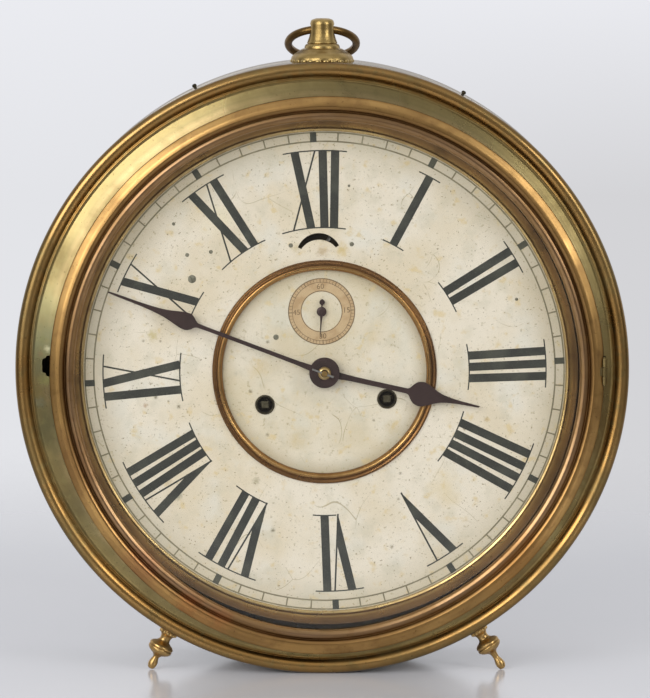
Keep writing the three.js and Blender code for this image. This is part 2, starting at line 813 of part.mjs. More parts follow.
function pillar() {
  const front = FRONT_PLATE_DEPTH + PLATE_SHEET + FIT;
  const back = BACK_PLATE_DEPTH - FIT;
  return turned([
    [0, front], [4, front], [4, front + 3], [2.8, front + 6],
    [2.8, back - 6], [4, back - 3], [4, back], [0, back],
  ], 6);
}

function dialFoot() {
  return disc([0, 0], 2, DIAL_FRONT + DIAL_SHEET + FIT, FRONT_PLATE_DEPTH - FIT);
}

// A strap across the front plate whose ends step forward to the rim's inner flange
function mountingBar(low) {
  const [flat, end] = [FRONT_PLATE_DEPTH - FIT, FLANGE_FRONT + SHEET + FIT];
  const half = [[0, flat], [70, flat], [104, end + 2], [154, end + 2], [154, end], [103, end], [69, flat - 2]];
  const mirrored = half.slice(1).reverse().map(([x, y]) => [-x, y]);
  const outline = polygon([...half, ...mirrored]);
  const geometry = new THREE.ExtrudeGeometry(outline, { depth: 12, bevelEnabled: false });
  return geometry.translate(0, 0, low);
}

const GREAT_DEPTH = 36;
const GREAT_MODULE = (2 * Math.hypot(WINDING_X, WINDING_Z - INTERMEDIATE_Z)) / (GREAT_TEETH + LEAVES);
const CLICK_REACH = 17;
const CLICK_BEARING = THREE.MathUtils.degToRad(90);
const RATCHET_TEETH = 12;
const RATCHET_RADIUS = 10.5;
const RATCHET_FRONT = GREAT_DEPTH + 2.6;
const INTERMEDIATE_PHASE = 0;

function greatWheel(place) {
  const towards = bearing(intermediatePlace, place);
  const phase = meshedPhase(INTERMEDIATE_PHASE, LEAVES, GREAT_TEETH, towards);
  const shape = holed(wheelOutline(GREAT_TEETH, GREAT_MODULE, phase), [{ place: [0, 0], radius: 3.7, steps: 8 }]);
  const stud = disc(placeFrom([0, 0], CLICK_BEARING, CLICK_REACH), 1.4, GREAT_DEPTH + 1.5, RATCHET_FRONT + 2, 6);
  return joined(sheet(shape, GREAT_DEPTH, GREAT_DEPTH + 2), stud);
}

// The winding arbor: square in front, round through the mainspring, with its ratchet
function windingArbor() {
  const ratchet = [];
  for (let i = 0; i < RATCHET_TEETH; i += 1) {
    const angle = (TURN * i) / RATCHET_TEETH;
    ratchet.push(placeFrom([0, 0], angle, RATCHET_RADIUS));
    ratchet.push(placeFrom([0, 0], angle + 0.02, RATCHET_RADIUS - 2.2));
  }
  return joined(
    sheet(polygon(ratchet), RATCHET_FRONT, RATCHET_FRONT + 1.8),
    disc([0, 0], 3.1, 22, BACK_PLATE_DEPTH + PLATE_SHEET, ARBOR_STEPS),
    box([-2.1, 2.1], [16.4, 23], [-2.1, 2.1]),
  );
}

// The click rides on the tip of a ratchet tooth
function click() {
  const nose = [-1.2, RATCHET_RADIUS + 0.4 - CLICK_REACH];
  const shape = holed(polygon([nose, [0.6, nose[1] + 0.3], [3, -1.6], [3, 1.6], [0, 3], [-3, 1.2], [-2.6, -2.4]]), [
    { place: [0, 0], radius: 1.8 },
  ]);
  return sheet(shape, RATCHET_FRONT, RATCHET_FRONT + 1.6);
}

// A flat spiral strip: `turns` coils between two radii, as one closed band
function spiral(inner, outer, turns, thickness, stepsPerTurn, startAngle, tail = []) {
  const count = Math.round(turns * stepsPerTurn);
  const line = Array.from({ length: count + 1 }, (_, i) => {
    const share = i / count;
    return placeFrom([0, 0], startAngle + TURN * turns * share, inner + (outer - inner) * share);
  }).concat(tail);
  const side = (offset) => line.map((point, i) => {
    const before = line[Math.max(i - 1, 0)];
    const after = line[Math.min(i + 1, line.length - 1)];
    return placeFrom(point, bearing(before, after) + RIGHT_ANGLE, offset);
  });
  return polygon([...side(thickness / 2), ...side(-thickness / 2).reverse()]);
}

// The mainspring's outer end hooks round the lower pillar on its side
function mainspring(sideways) {
  const pillarPlace = [56 - WINDING_X, -64 - WINDING_Z];
  const away = bearing([0, 0], pillarPlace);
  const hook = [-130, -80, -30, 20, 70, 120].map((degrees) => {
    return placeFrom(pillarPlace, away + THREE.MathUtils.degToRad(degrees), 5);
  });
  const turns = 5.15;
  const shape = spiral(5.6, 31, turns, 0.9, 9, away - TURN * turns - 0.9, hook);
  const geometry = sheet(shape, 42, 56.5);
  return sideways < 0 ? geometry.scale(-1, 1, 1) : geometry;
}

function windingSide(side, place) {
  return [
    piece(`great_wheel_${side}`, greatWheel(place), finishes.brass, place),
    piece(`winding_arbor_${side}`, windingArbor(), finishes.steel, place),
    piece(`click_${side}`, click(), finishes.steel, placeFrom(place, CLICK_BEARING, CLICK_REACH)),
    piece(`mainspring_${side}`, mainspring(place[0]), finishes.springSteel, place),
  ];
}

const CENTRE_MODULE = (2 * -INTERMEDIATE_Z) / (INTERMEDIATE_TEETH + LEAVES);

function intermediateWheel() {
  const wheel = crossed(wheelOutline(INTERMEDIATE_TEETH, CENTRE_MODULE, RIGHT_ANGLE), 7, 21, 1.8);
  return joined(
    sheet(wheel, 58.6, 60.2),
    sheet(pinionOutline(LEAVES, GREAT_MODULE, INTERMEDIATE_PHASE), GREAT_DEPTH - 0.8, GREAT_DEPTH + 2.8),
    arbor(2.2),
  );
}

// The centre arbor runs from the back plate through the cannon pinion to the taper pin
function centreWheel() {
  const towards = bearing(intermediatePlace, centrePlace);
  const pinionPhase = meshedPhase(RIGHT_ANGLE, INTERMEDIATE_TEETH, LEAVES, towards);
  const wheel = crossed(wheelOutline(CENTRE_TEETH, THIRD_MODULE, bearing(centrePlace, thirdPlace)), 6, 19.5, 1.6);
  const shaft = joined(
    sheet(wheel, 31.4, 32.8),
    sheet(pinionOutline(LEAVES, CENTRE_MODULE, pinionPhase), 57.8, 61),
    disc([0, 0], 1.9, 1.4, 60, ARBOR_STEPS),
    disc([0, 0], PIVOT_RADIUS, 59, BACK_PLATE_DEPTH + PLATE_SHEET, 6),
  );
  const pinHole = new THREE.CylinderGeometry(1.1, 1.1, 10, 8).rotateX(RIGHT_ANGLE);
  return without(shaft, pinHole.rotateY(-handTurn(MINUTE_ANGLE)).translate(0, 2.7, 0));
}

function handTurn(clockwise) {
  return -clockwise;
}

const CANNON_MODULE = (2 * MINUTE_WHEEL_DISTANCE) / (LEAVES + MINUTE_WHEEL_TEETH);
const HOUR_MODULE = (2 * MINUTE_WHEEL_DISTANCE) / (LEAVES + HOUR_WHEEL_TEETH);

// The pipe that carries the minute hand, with the leaves that drive the motion work
function cannonPinion() {
  const pipe = turned([[2.2, 7], [3, 7], [3, 27.4], [2.2, 27.4]], 10);
  const shape = pinionOutline(LEAVES, CANNON_MODULE, MINUTE_WHEEL_BEARING + Math.PI / LEAVES);
  const leaves = sheet(holed(shape, [{ place: [0, 0], radius: 2.5, steps: 10 }]), 23.4, 26.4);
  return joined(pipe, leaves);
}

function minuteWheel() {
  const wheel = wheelOutline(MINUTE_WHEEL_TEETH, CANNON_MODULE, MINUTE_WHEEL_BEARING + Math.PI);
  const pinion = pinionOutline(LEAVES, HOUR_MODULE, MINUTE_WHEEL_BEARING + Math.PI);
  return joined(
    sheet(wheel, 24, 25.6),
    sheet(pinion, 18.9, 24.5),
    disc([0, 0], PIVOT_RADIUS, 18, FRONT_PLATE_DEPTH + PLATE_SHEET, 6),
  );
}

function hourWheel() {
  const pipe = turned([[3.4, 8.4], [4.6, 8.4], [4.6, 21.2], [3.4, 21.2]], 10);
  const phase = MINUTE_WHEEL_BEARING + Math.PI / HOUR_WHEEL_TEETH;
  const shape = holed(wheelOutline(HOUR_WHEEL_TEETH, HOUR_MODULE, phase), [{ place: [0, 0], radius: 4, steps: 12 }]);
  return joined(pipe, sheet(shape, 19.6, 21.2));
}

function thirdWheel() {
  const towards = bearing(centrePlace, thirdPlace);
  const wheel = crossed(wheelOutline(THIRD_TEETH, SECONDS_MODULE, bearing(thirdPlace, secondsPlace)), 5, 16.4, 1.4);
  return joined(
    sheet(wheel, 34, 35.2),
    sheet(pinionOutline(LEAVES, THIRD_MODULE, towards + Math.PI + Math.PI / LEAVES), 30.6, 34.5),
    arbor(1.2),
  );
}

function fourthWheel() {
  const towards = bearing(thirdPlace, secondsPlace);
  const wheel = crossed(wheelOutline(FOURTH_TEETH, ESCAPE_MODULE, ESCAPE_BEARING), 5, 15.6, 1.4);
  return joined(
    sheet(wheel, 44, 45.2),
    sheet(pinionOutline(LEAVES, SECONDS_MODULE, towards + Math.PI + Math.PI / LEAVES), 33.4, 35.8),
    disc([0, 0], 1.2, SECONDS_HAND_DEPTH - 0.4, 60, 6),
    disc([0, 0], PIVOT_RADIUS, 59, BACK_PLATE_DEPTH + PLATE_SHEET, 6),
  );
}

function escapeWheel() {
  const points = [];
  for (let i = 0; i < ESCAPE_TEETH; i += 1) {
    const angle = (TURN * i) / ESCAPE_TEETH;
    points.push(placeFrom([0, 0], angle, ESCAPE_RADIUS));
    points.push(placeFrom([0, 0], angle + 0.07, ESCAPE_RADIUS));
    points.push(placeFrom([0, 0], angle + 0.16, ESCAPE_RADIUS - 2.6));
  }
  return joined(
    sheet(polygon(points), 38, 39.2),
    sheet(pinionOutline(LEAVES, ESCAPE_MODULE, ESCAPE_BEARING + Math.PI + Math.PI / LEAVES), 43.2, 46),
    arbor(1.1),
  );
}

// The lever: two pallet arms over the escape wheel and a fork that reaches the balance
function palletLever() {
  const shape = polygon([
    [-1.3, 12], [-0.5, 10], [0.5, 10], [1.3, 12], [2, 11.6], [1, 8.4], [1.6, 1], [5.6, -2.2], [6.4, -5.6],
    [5.2, -5.6], [3.8, -2.8], [0, -1.6], [-3.8, -2.8], [-5.2, -5.6], [-6.4, -5.6], [-5.6, -2.2], [-1.6, 1],
    [-1, 8.4], [-2, 11.6],
  ]);
  return joined(sheet(shape, 36.4, 37.5), arbor(1));
}

// Balance: a rim with two arms, its staff, and the roller with the impulse pin
function balance() {
  const rim = turned([[15, 32.6], [15, 34.4], [12.6, 34.4], [12.6, 32.6]], 18);
  const arms = box([-13, 13], [33, 34], [-1.3, 1.3]);
  const roller = disc([0, 0], 5.6, 34.6, 35.4, 12);
  const impulsePin = disc([0, -5], 0.5, 35, 36, 6);
  const staff = turned([
    [0, FRONT_PLATE_DEPTH], [0.8, FRONT_PLATE_DEPTH], [0.8, 30.4], [1.3, 30.4],
    [1.3, 40.4], [0.8, 40.4], [0.8, 42.4], [0, 42.4],
  ], 6);
  return joined(rim, arms, roller, impulsePin, staff);
}

const COCK_FRONT = 40.8;
const COCK_POST = [16, 14];

function balanceCock() {
  const shape = holed(polygon([[-4.4, -1.2], [-1.8, -4.2], [3, -3.6], [19.4, 11.4], [18.6, 17.4], [12.6, 16.8]]), [
    { place: [0, 0], radius: 1.3 },
  ]);
  const post = disc(COCK_POST, 3, FRONT_PLATE_DEPTH + PLATE_SHEET + FIT, COCK_FRONT + 1, ARBOR_STEPS);
  return joined(sheet(shape, COCK_FRONT, COCK_FRONT + 2), post);
}

function regulator() {
  const ring = holed(new THREE.Shape(circlePoints([0, 0], 6.2, 12)), [{ place: [0, 0], radius: 3.8, steps: 10 }]);
  const arm = box([-0.9, 0.9], [25.8, 27.6], [5, REGULATOR_RADIUS + 0.8]);
  const pointer = box([-0.6, 0.6], [11, 27], [REGULATOR_RADIUS - 0.8, REGULATOR_RADIUS + 0.8]);
  return joined(sheet(ring, 25.8, 27.6), arm, pointer);
}

function dialGroup() {
  const holder = group(
    piece('dial_surround', dialSurround(), finishes.gold),
    piece('dial_plate', dialPlate(), finishes.dialPaint),
    piece('centre_ring', centreRing(), finishes.gold),
    piece('centre_plate', centrePlate(), finishes.dialPaint),
    piece('seconds_ring', secondsRing(), finishes.paper, secondsPlace),
    piece('winding_grommet_left', grommet(), finishes.blackened, winding.left),
    piece('winding_grommet_right', grommet(), finishes.blackened, winding.right),
    piece('minute_hand', minuteHand(), finishes.blackened, centrePlace, handTurn(MINUTE_ANGLE)),
    piece('hour_hand', hourHand(), finishes.blackened, centrePlace, handTurn(HOUR_ANGLE)),
    piece('seconds_hand', secondsHand(), finishes.blackened, secondsPlace, handTurn(SECONDS_ANGLE)),
    piece('hand_collet', handCollet(), finishes.brass),
    piece('taper_pin', taperPin(), finishes.steel, centrePlace, handTurn(MINUTE_ANGLE)),
  );
  const numbered = (name, places, build, material) => places.map((place, i) => {
    return piece(`${name}_${i + 1}`, build(), material, place);
  });
  const leverTurn = bearing(palletPlace, balancePlace) - RIGHT_ANGLE;
  holder.add(
    piece('front_plate', frontPlate(), finishes.brass),
    piece('back_plate', backPlate(), finishes.brass),
    ...numbered('pillar', PILLAR_PLACES, pillar, finishes.steel),
    ...numbered('dial_foot', DIAL_FOOT_PLACES, dialFoot, finishes.steel),
    piece('mounting_bar_upper', mountingBar(44), finishes.steel),
    piece('mounting_bar_lower', mountingBar(-56), finishes.steel),
    ...windingSide('left', winding.left),
    ...windingSide('right', winding.right),
    piece('intermediate_wheel', intermediateWheel(), finishes.brass, intermediatePlace),
    piece('centre_wheel', centreWheel(), finishes.brass),
    piece('cannon_pinion', cannonPinion(), finishes.steel),
    piece('minute_wheel', minuteWheel(), finishes.brass, minuteWheelPlace),
    piece('hour_wheel', hourWheel(), finishes.brass),
    piece('third_wheel', thirdWheel(), finishes.brass, thirdPlace),
    piece('fourth_wheel', fourthWheel(), finishes.brass, secondsPlace),
    piece('escape_wheel', escapeWheel(), finishes.brass, escapePlace),
    piece('pallet_lever', palletLever(), finishes.steel, palletPlace, leverTurn),
    piece('balance', balance(), finishes.brass, balancePlace, leverTurn),
    piece('hairspring', hairspring(), finishes.springSteel, balancePlace),
    piece('balance_cock', balanceCock(), finishes.brass, balancePlace),
    piece('regulator', regulator(), finishes.steel, balancePlace, handTurn(REGULATOR_REST)),
  );
  holder.position.copy(DIAL_OFFSET);
  holder.rotation.y = -DIAL_TURN;
  return holder;
}

function hairspring() {
  return sheet(spiral(2.6, 9.6, 2.5, 0.4, 10, 0), 30.9, 31.8);
}

const clock = group(
  piece('front_rim', frontRim(), finishes.olive),
  piece('drum', drum(), finishes.nickel),
  piece('rear_plate', rearPlate(), finishes.nickel),
  hingeGroup(),
  doorGroup(),
  pendantGroup(),
  footPiece('foot_left', -1, FOOT_LEAN_LEFT),
  footPiece('foot_right', 1, FOOT_LEAN_RIGHT),
  dialGroup(),
);
clock.position.set(0, -(DOOR_FRONT + REAR_EDGE) / 2, RIM_RADIUS);

const object = group(clock);

export default object;
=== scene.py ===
"""Round lever clock: its visible pieces, their finishes and a plain studio, built round the CAD frame.

Lists of sizes are in millimetres. A depth counts back from the groove of the front rim, a radius counts
from the middle of the face that carries the piece, and an angle counts clockwise from twelve.
"""

import json
import logging
import math
from dataclasses import dataclass
from enum import Enum
from typing import Callable, ClassVar, Sequence

import bmesh
import bpy
from mathutils import Matrix, Vector
from mathutils.geometry import intersect_line_line_2d


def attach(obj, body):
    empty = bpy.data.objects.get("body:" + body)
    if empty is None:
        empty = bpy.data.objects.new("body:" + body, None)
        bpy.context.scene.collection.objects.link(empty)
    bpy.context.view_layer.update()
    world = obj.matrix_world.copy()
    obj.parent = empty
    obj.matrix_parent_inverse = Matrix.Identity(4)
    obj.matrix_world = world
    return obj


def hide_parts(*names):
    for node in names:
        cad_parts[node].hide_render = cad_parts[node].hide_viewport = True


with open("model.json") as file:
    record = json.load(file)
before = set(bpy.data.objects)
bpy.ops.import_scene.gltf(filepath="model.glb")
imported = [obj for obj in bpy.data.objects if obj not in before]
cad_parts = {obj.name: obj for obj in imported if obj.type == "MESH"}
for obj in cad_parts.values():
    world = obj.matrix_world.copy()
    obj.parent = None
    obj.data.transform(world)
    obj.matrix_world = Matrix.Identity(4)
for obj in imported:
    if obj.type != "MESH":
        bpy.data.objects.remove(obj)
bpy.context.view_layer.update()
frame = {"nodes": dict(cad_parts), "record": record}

LOG = logging.getLogger("lever_clock")

# Shared sizes: metres in a millimetre, depth of the rim's groove in the frame, height of the rim's
# middle above the table, thickness of paint, and height of the seconds dial's middle above the dial's.
MM = 0.001
GROOVE_Y = -43.0
RIM_HEIGHT = 187.3
PAINT = 0.05
SECONDS_HEIGHT = 37.2

# Steps round a shape, from the whole face down to the head of a pin.
FACE_STEPS = 320
RING_STEPS = 128
KNOB_STEPS = 72
HOLE_STEPS = 48
HEAD_STEPS = 40

# Degrees round a face, and from one hour or minute to the next.
FULL_TURN = 360.0
HOUR_TURN = FULL_TURN / 12
MINUTE_TURN = FULL_TURN / 60

# Radius under which a point lies on the axis, and distance under which two points are one.
POLE = 1e-6
SAME_POINT = 1e-4

Point = tuple[float, float]
Corner = tuple[float, float, float]
Shell = bmesh.types.BMesh
Socket = bpy.types.NodeSocket
Warp = Callable[[float, float, float], float]


class Body(Enum):
    """CAD bodies that carry a piece made here."""

    CASE = "case"
    DOOR = "door"
    BOW = "bow"
    CENTRE = "centre"
    HOUR = "hour"
    SECONDS = "seconds"


class Slot(Enum):
    """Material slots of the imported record."""

    OLIVE_BRASS = "olive_brass"
    COPPER_BRASS = "copper_brass"
    GILT = "gilt"
    BRASS = "brass"
    NICKEL = "nickel"
    STEEL = "steel"
    SPRING_STEEL = "spring_steel"
    BLACKENED_STEEL = "blackened_steel"
    DIAL_PAINT = "dial_paint"
    AGED_PAPER = "aged_paper"
    GLASS = "glass"


class Girth(Enum):
    """Where a spun finish reads its radius: from its place on the face, or from the lathe profile."""

    PLACE = "place"
    PROFILE = "girth"


@dataclass(frozen=True)
class Placement:
    """Middle of a round face beside and above the rim's middle, and its anticlockwise turn in degrees."""

    x: float = 0.0
    z: float = 0.0
    turn: float = 0.0

    def matrix(self) -> Matrix:
        """Matrix from millimetres on this face to metres in the shared frame."""
        move = Matrix.Translation((self.x, GROOVE_Y, RIM_HEIGHT + self.z))
        return Matrix.Scale(MM, 4) @ move @ Matrix.Rotation(math.radians(-self.turn), 4, "Y")


CASE = Placement()
DOOR = Placement(1.8, -0.5)
DIAL = Placement(1.4, -2.8, 2.75)
ALONG_Z = Matrix.Rotation(math.radians(90.0), 4, "X")
FLATTEN = (1.0, 0.0, 1.0)


# Shapes

def clock_point(radius: float, degrees: float) -> Point:
    """Point on a face, from its radius and its clockwise angle from twelve."""
    angle = math.radians(degrees)
    return (radius * math.sin(angle), radius * math.cos(angle))


def arc(radius: float, start: float, end: float, steps: int, centre: Point = (0.0, 0.0)) -> list[Point]:
    """Draws points along a circle on a face.

    Args:
        radius: Radius of the circle.
        start: First clockwise angle in degrees.
        end: Last clockwise angle in degrees.
        steps: Number of equal steps between them.
        centre: Middle of the circle.

    Returns:
        The points, with both ends.
    """
    points = []
    for step in range(steps + 1):
        x, z = clock_point(radius, start + (end - start) * step / steps)
        points.append((centre[0] + x, centre[1] + z))
    return points


def circle(radius: float, steps: int, centre: Point = (0.0, 0.0)) -> list[Point]:
    """Closed outline of a round edge or hole."""
    return arc(radius, 0.0, FULL_TURN * (steps - 1) / steps, steps - 1, centre)


def eased(corners: Sequence[Corner], closed: bool = True, steps: int = 5) -> list[Point]:
    """Rounds the corners of a profile, as a spinning tool leaves them.

    Args:
        corners: Each corner as its two coordinates and how far from it the rounding starts.
        closed: Whether the last corner joins the first.
        steps: Number of steps round each corner.

    Returns:
        Points of the eased profile, with a guard point beside each rounding so that flats stay flat.
    """
    guard = 1.3
    longest_share = 0.38
    count = len(corners)
    points: list[Point] = []
    for index, (across, along, rounding) in enumerate(corners):
        here = Vector((across, along))
        inner = closed or 0 < index < count - 1
        if rounding <= 0.0 or not inner:
            points.append((across, along))
            continue
        before = Vector(corners[index - 1][:2]) - here
        after = Vector(corners[(index + 1) % count][:2]) - here
        reach = min(rounding, before.length * longest_share, after.length * longest_share)
        start = here + before.normalized() * reach
        end = here + after.normalized() * reach
        points.append(tuple(here + before.normalized() * reach * guard))
        for step in range(steps + 1):
            share = step / steps
            point = start * (1 - share) ** 2 + here * 2 * share * (1 - share) + end * share ** 2
            points.append(tuple(point))
        points.append(tuple(here + after.normalized() * reach * guard))
    return points


def flowing(points: Sequence[Point], steps: int = 6) -> list[Point]:
    """Draws a smooth line through points, as a file leaves the edge of a hand.

    Args:
        points: Points that the line passes through.
        steps: Steps between two of them.

    Returns:
        Points of the smooth line.
    """
    line: list[Point] = []
    for index in range(len(points) - 1):
        around = [Vector(points[min(max(index + k, 0), len(points) - 1)]) for k in (-1, 0, 1, 2)]
        for step in range(steps):
            t = step / steps
            point = 0.5 * (
                2 * around[1]
                + (around[2] - around[0]) * t
                + (2 * around[0] - 5 * around[1] + 4 * around[2] - around[3]) * t ** 2
                + (3 * around[1] - around[0] - 3 * around[2] + around[3]) * t ** 3
            )
            line.append((point.x, point.y))
    line.append(tuple(points[-1]))
    return line


def turned(
    profile: Sequence[Point],
    steps: int = FACE_STEPS,
    closed: bool = True,
    warp: Warp | None = None,
) -> Shell:
    """Turns a profile about the depth axis.

    Args:
        profile: Points of radius and depth; a radius of zero closes the piece on its axis.
        steps: Number of steps round the axis.
        closed: Whether the last point joins the first, as in a ring.
        warp: How far a point moves outwards, from its radius, depth and angle.

    Returns:
        The turned shell, with the profile's radius kept at each vertex.
    """
    shell = bmesh.new()
    girth = shell.verts.layers.float.new(Girth.PROFILE.value)
    rings = []
    for radius, depth in profile:
        if radius < POLE:
            rings.append([shell.verts.new((0.0, depth, 0.0))])
            continue
        ring = []
        for step in range(steps):
            angle = FULL_TURN * step / steps
            shift = warp(radius, depth, angle) if warp else 0.0
            x, z = clock_point(radius + shift, angle)
            vertex = shell.verts.new((x, depth, z))
            vertex[girth] = radius
            ring.append(vertex)
        rings.append(ring)
    pairs = list(zip(rings, rings[1:]))
    if closed:
        pairs.append((rings[-1], rings[0]))
    for first, second in pairs:
        for step in range(steps):
            corners = [
                first[step % len(first)],
                first[(step + 1) % len(first)],
                second[(step + 1) % len(second)],
                second[step % len(second)],
            ]
            unique = list(dict.fromkeys(corners))
            if len(unique) > 2:
                shell.faces.new(unique)
    return shell


def knob(corners: Sequence[Corner], steps: int, warp: Warp | None = None) -> Shell:
    """Turns a solid shape, with its corners rounded.

    Args:
        corners: Corners of its profile, from the axis round to the axis.
        steps: Number of steps round the axis.
        warp: How far a point moves outwards.

    Returns:
        The closed shell.
    """
    return turned(eased(corners, closed=False), steps, closed=False, warp=warp)


def prism(outline: Sequence[Point], front: float, back: float) -> Shell:
    """Gives an outline on a face a thickness.

    Args:
        outline: Closed outline as points across and up.
        front: Depth of its front.
        back: Depth of its back.

    Returns:
        The closed shell.
    """
    shell = bmesh.new()
    near = [shell.verts.new((x, front, z)) for x, z in outline]
    far = [shell.verts.new((x, back, z)) for x, z in outline]
    shell.faces.new(near)
    shell.faces.new(list(reversed(far)))
    for index in range(len(outline)):
        after = (index + 1) % len(outline)
        shell.faces.new((near[index], far[index], far[after], near[after]))
    return shell


def bar(start: Vector, end: Vector, width: float, front: float, back: float) -> Shell:
    """Shapes a straight bar on a face.

    Args:
        start: Middle of one end.
        end: Middle of the other end.
        width: Its width.
        front: Depth of its front.
        back: Depth of its back.

    Returns:
        The closed shell.
    """
    line = (end - start).normalized()
    side = Vector((-line.y, line.x)) * width / 2
    outline = (start + side, end + side, end - side, start - side)
    return prism([tuple(corner) for corner in outline], front, back)


def from_curve(curve: bpy.types.Curve, depth: float) -> Shell:
    """Turns a flat curve into a shell that stands on a face at a depth, and removes the curve.

    Args:
        curve: Curve drawn across and up.
        depth: Depth of the middle of its thickness.

    Returns:
        The shell, with its doubled edges joined.
    """
    holder = bpy.data.objects.new("holder", curve)
    mesh = bpy.data.meshes.new_from_object(holder)
    shell = bmesh.new()
    shell.from_mesh(mesh)
    bmesh.ops.remove_doubles(shell, verts=shell.verts, dist=SAME_POINT)
    shell.transform(Matrix.Translation((0.0, depth, 0.0)) @ ALONG_Z)
    bpy.data.objects.remove(holder)
    bpy.data.meshes.remove(mesh)
    bpy.data.curves.remove(curve)
    return shell


def sheet(outlines: Sequence[Sequence[Point]], front: float, back: float, bevel: float = 0.0) -> Shell:
    """Cuts a flat sheet to an outer outline and the outlines of its holes.

    Args:
        outlines: The outer outline first, then each hole.
        front: Depth of the front.
        back: Depth of the back.
        bevel: Width of the broken edge.

    Returns:
        The closed shell.
    """
    curve = bpy.data.curves.new("sheet", "CURVE")
    curve.dimensions = "2D"
    curve.fill_mode = "BOTH"
    curve.extrude = (back - front) / 2 - bevel
    curve.bevel_depth = bevel
    curve.bevel_resolution = 0
    curve.offset = -bevel
    for outline in outlines:
        spline = curve.splines.new("POLY")
        spline.points.add(len(outline) - 1)
        for point, (x, z) in zip(spline.points, outline):
            point.co = (x, z, 0.0, 1.0)
        spline.use_cyclic_u = True
    return from_curve(curve, (front + back) / 2)


def figures(text: str, size: float, centre: Point, front: float, back: float) -> Shell:
    """Draws plain figures on a face.

    Args:
        text: The figures.
        size: Their size.
        centre: Middle of the word on the face.
        front: Depth of the front.
        back: Depth of the back.

    Returns:
        The shell of all the figures.
    """
    curve = bpy.data.curves.new("figures", "FONT")
    curve.body = text
    curve.size = size
    curve.align_x = "CENTER"
    curve.align_y = "CENTER"
    curve.extrude = (back - front) / 2
    curve.resolution_u = 3
    shell = from_curve(curve, (front + back) / 2)
    shell.transform(Matrix.Translation((centre[0], 0.0, centre[1])))
    return shell


def joined(shells: Sequence[Shell]) -> Shell:
    """Puts several shells into one.

    Args:
        shells: The shells, which are freed.

    Returns:
        One shell with all their faces.
    """
    whole = bmesh.new()
    for shell in shells:
        scrap = bpy.data.meshes.new("scrap")
        shell.to_mesh(scrap)
        whole.from_mesh(scrap)
        bpy.data.meshes.remove(scrap)
        shell.free()
    return whole


def cut(shell: Shell, cutters: Sequence[Shell]) -> Shell:
    """Cuts shapes out of a shell.

    Args:
        shell: What is cut.
        cutters: Closed shapes to take out.

    Returns:
        The shell that is left.
    """
    scene = bpy.context.scene
    blanks = []
    for part in (shell, *cutters):
        bmesh.ops.recalc_face_normals(part, faces=part.faces)
        mesh = bpy.data.meshes.new("blank")
        part.to_mesh(mesh)
        part.free()
        blank = bpy.data.objects.new("blank", mesh)
        scene.collection.objects.link(blank)
        blanks.append(blank)
    for cutter in blanks[1:]:
        tool = blanks[0].modifiers.new("cut", "BOOLEAN")
        tool.operation = "DIFFERENCE"
        tool.solver = "EXACT"
        tool.object = cutter
    evaluated = blanks[0].evaluated_get(bpy.context.evaluated_depsgraph_get())
    rest = bmesh.new()
    rest.from_mesh(evaluated.data)
    for blank in blanks:
        mesh = blank.data
        bpy.data.objects.remove(blank)
        bpy.data.meshes.remove(mesh)
    return rest


# Finishes

def linear(code: str) -> tuple[float, float, float, float]:
    """Turns an sRGB hex code into a linear colour.

    Args:
        code: Six hex digits after a hash.

    Returns:
        Red, green, blue and full opacity.
    """
    channels = []
    for index in (1, 3, 5):
        value = int(code[index:index + 2], 16) / 255
        channels.append(value / 12.92 if value <= 0.04045 else ((value + 0.055) / 1.055) ** 2.4)
    return (*channels, 1.0)


def add_node(
    tree: bpy.types.NodeTree,
    kind: str,
    inputs: dict | None = None,
    stops: Sequence[tuple[float, str]] = (),
    **settings: object,
) -> bpy.types.Node:
    """Adds a node with its settings, its values and its links.

    Args:
        tree: Tree that gets the node.
        kind: Blender's name of the node.
        inputs: A value or a linked socket for each input, by name or place.
        stops: Places and hex colours of a colour ramp.
        **settings: Properties of the node.

    Returns:
        The node.
    """
    node = tree.nodes.new(kind)
    for name, value in settings.items():
        setattr(node, name, value)
    for name, value in (inputs or {}).items():
        if isinstance(value, Socket):
            tree.links.new(value, node.inputs[name])
        else:
            node.inputs[name].default_value = value
    if stops:
        elements = node.color_ramp.elements
        while len(elements) < len(stops):
            elements.new(1.0)
        for element, (place, code) in zip(elements, stops):
            element.position = place
            element.color = linear(code)
    return node


def maths(tree: bpy.types.NodeTree, operation: str, *values: Socket | float) -> Socket:
    """Adds a calculation on numbers.

    Args:
        tree: Tree that gets the node.
        operation: Blender's name of the calculation.
        *values: What it works on, as sockets or numbers.

    Returns:
        The result.
    """
    return add_node(tree, "ShaderNodeMath", dict(enumerate(values)), operation=operation).outputs[0]


def vector_maths(
    tree: bpy.types.NodeTree, operation: str, *values: Socket | tuple[float, float, float]
) -> bpy.types.Node:
    """Adds a calculation on vectors.

    Args:
        tree: Tree that gets the node.
        operation: Blender's name of the calculation.
        *values: What it works on, as sockets or triples.

    Returns:
        The node; a length or distance is its output named Value.
    """
    return add_node(tree, "ShaderNodeVectorMath", dict(enumerate(values)), operation=operation)


def ramp(tree: bpy.types.NodeTree, value: Socket, start: float, end: float, smooth: bool = True) -> Socket:
    """Turns a value into a share that grows from 0 to 1 between two levels.

    Args:
        tree: Tree that gets the node.
        value: The value.
        start: Level where the share is 0.
        end: Level where it is 1.
        smooth: Whether it eases in and out.

    Returns:
        The share.
    """
    kind = "SMOOTHSTEP" if smooth else "LINEAR"
    levels = {"Value": value, "From Min": start, "From Max": end}
    return add_node(tree, "ShaderNodeMapRange", levels, interpolation_type=kind).outputs[0]


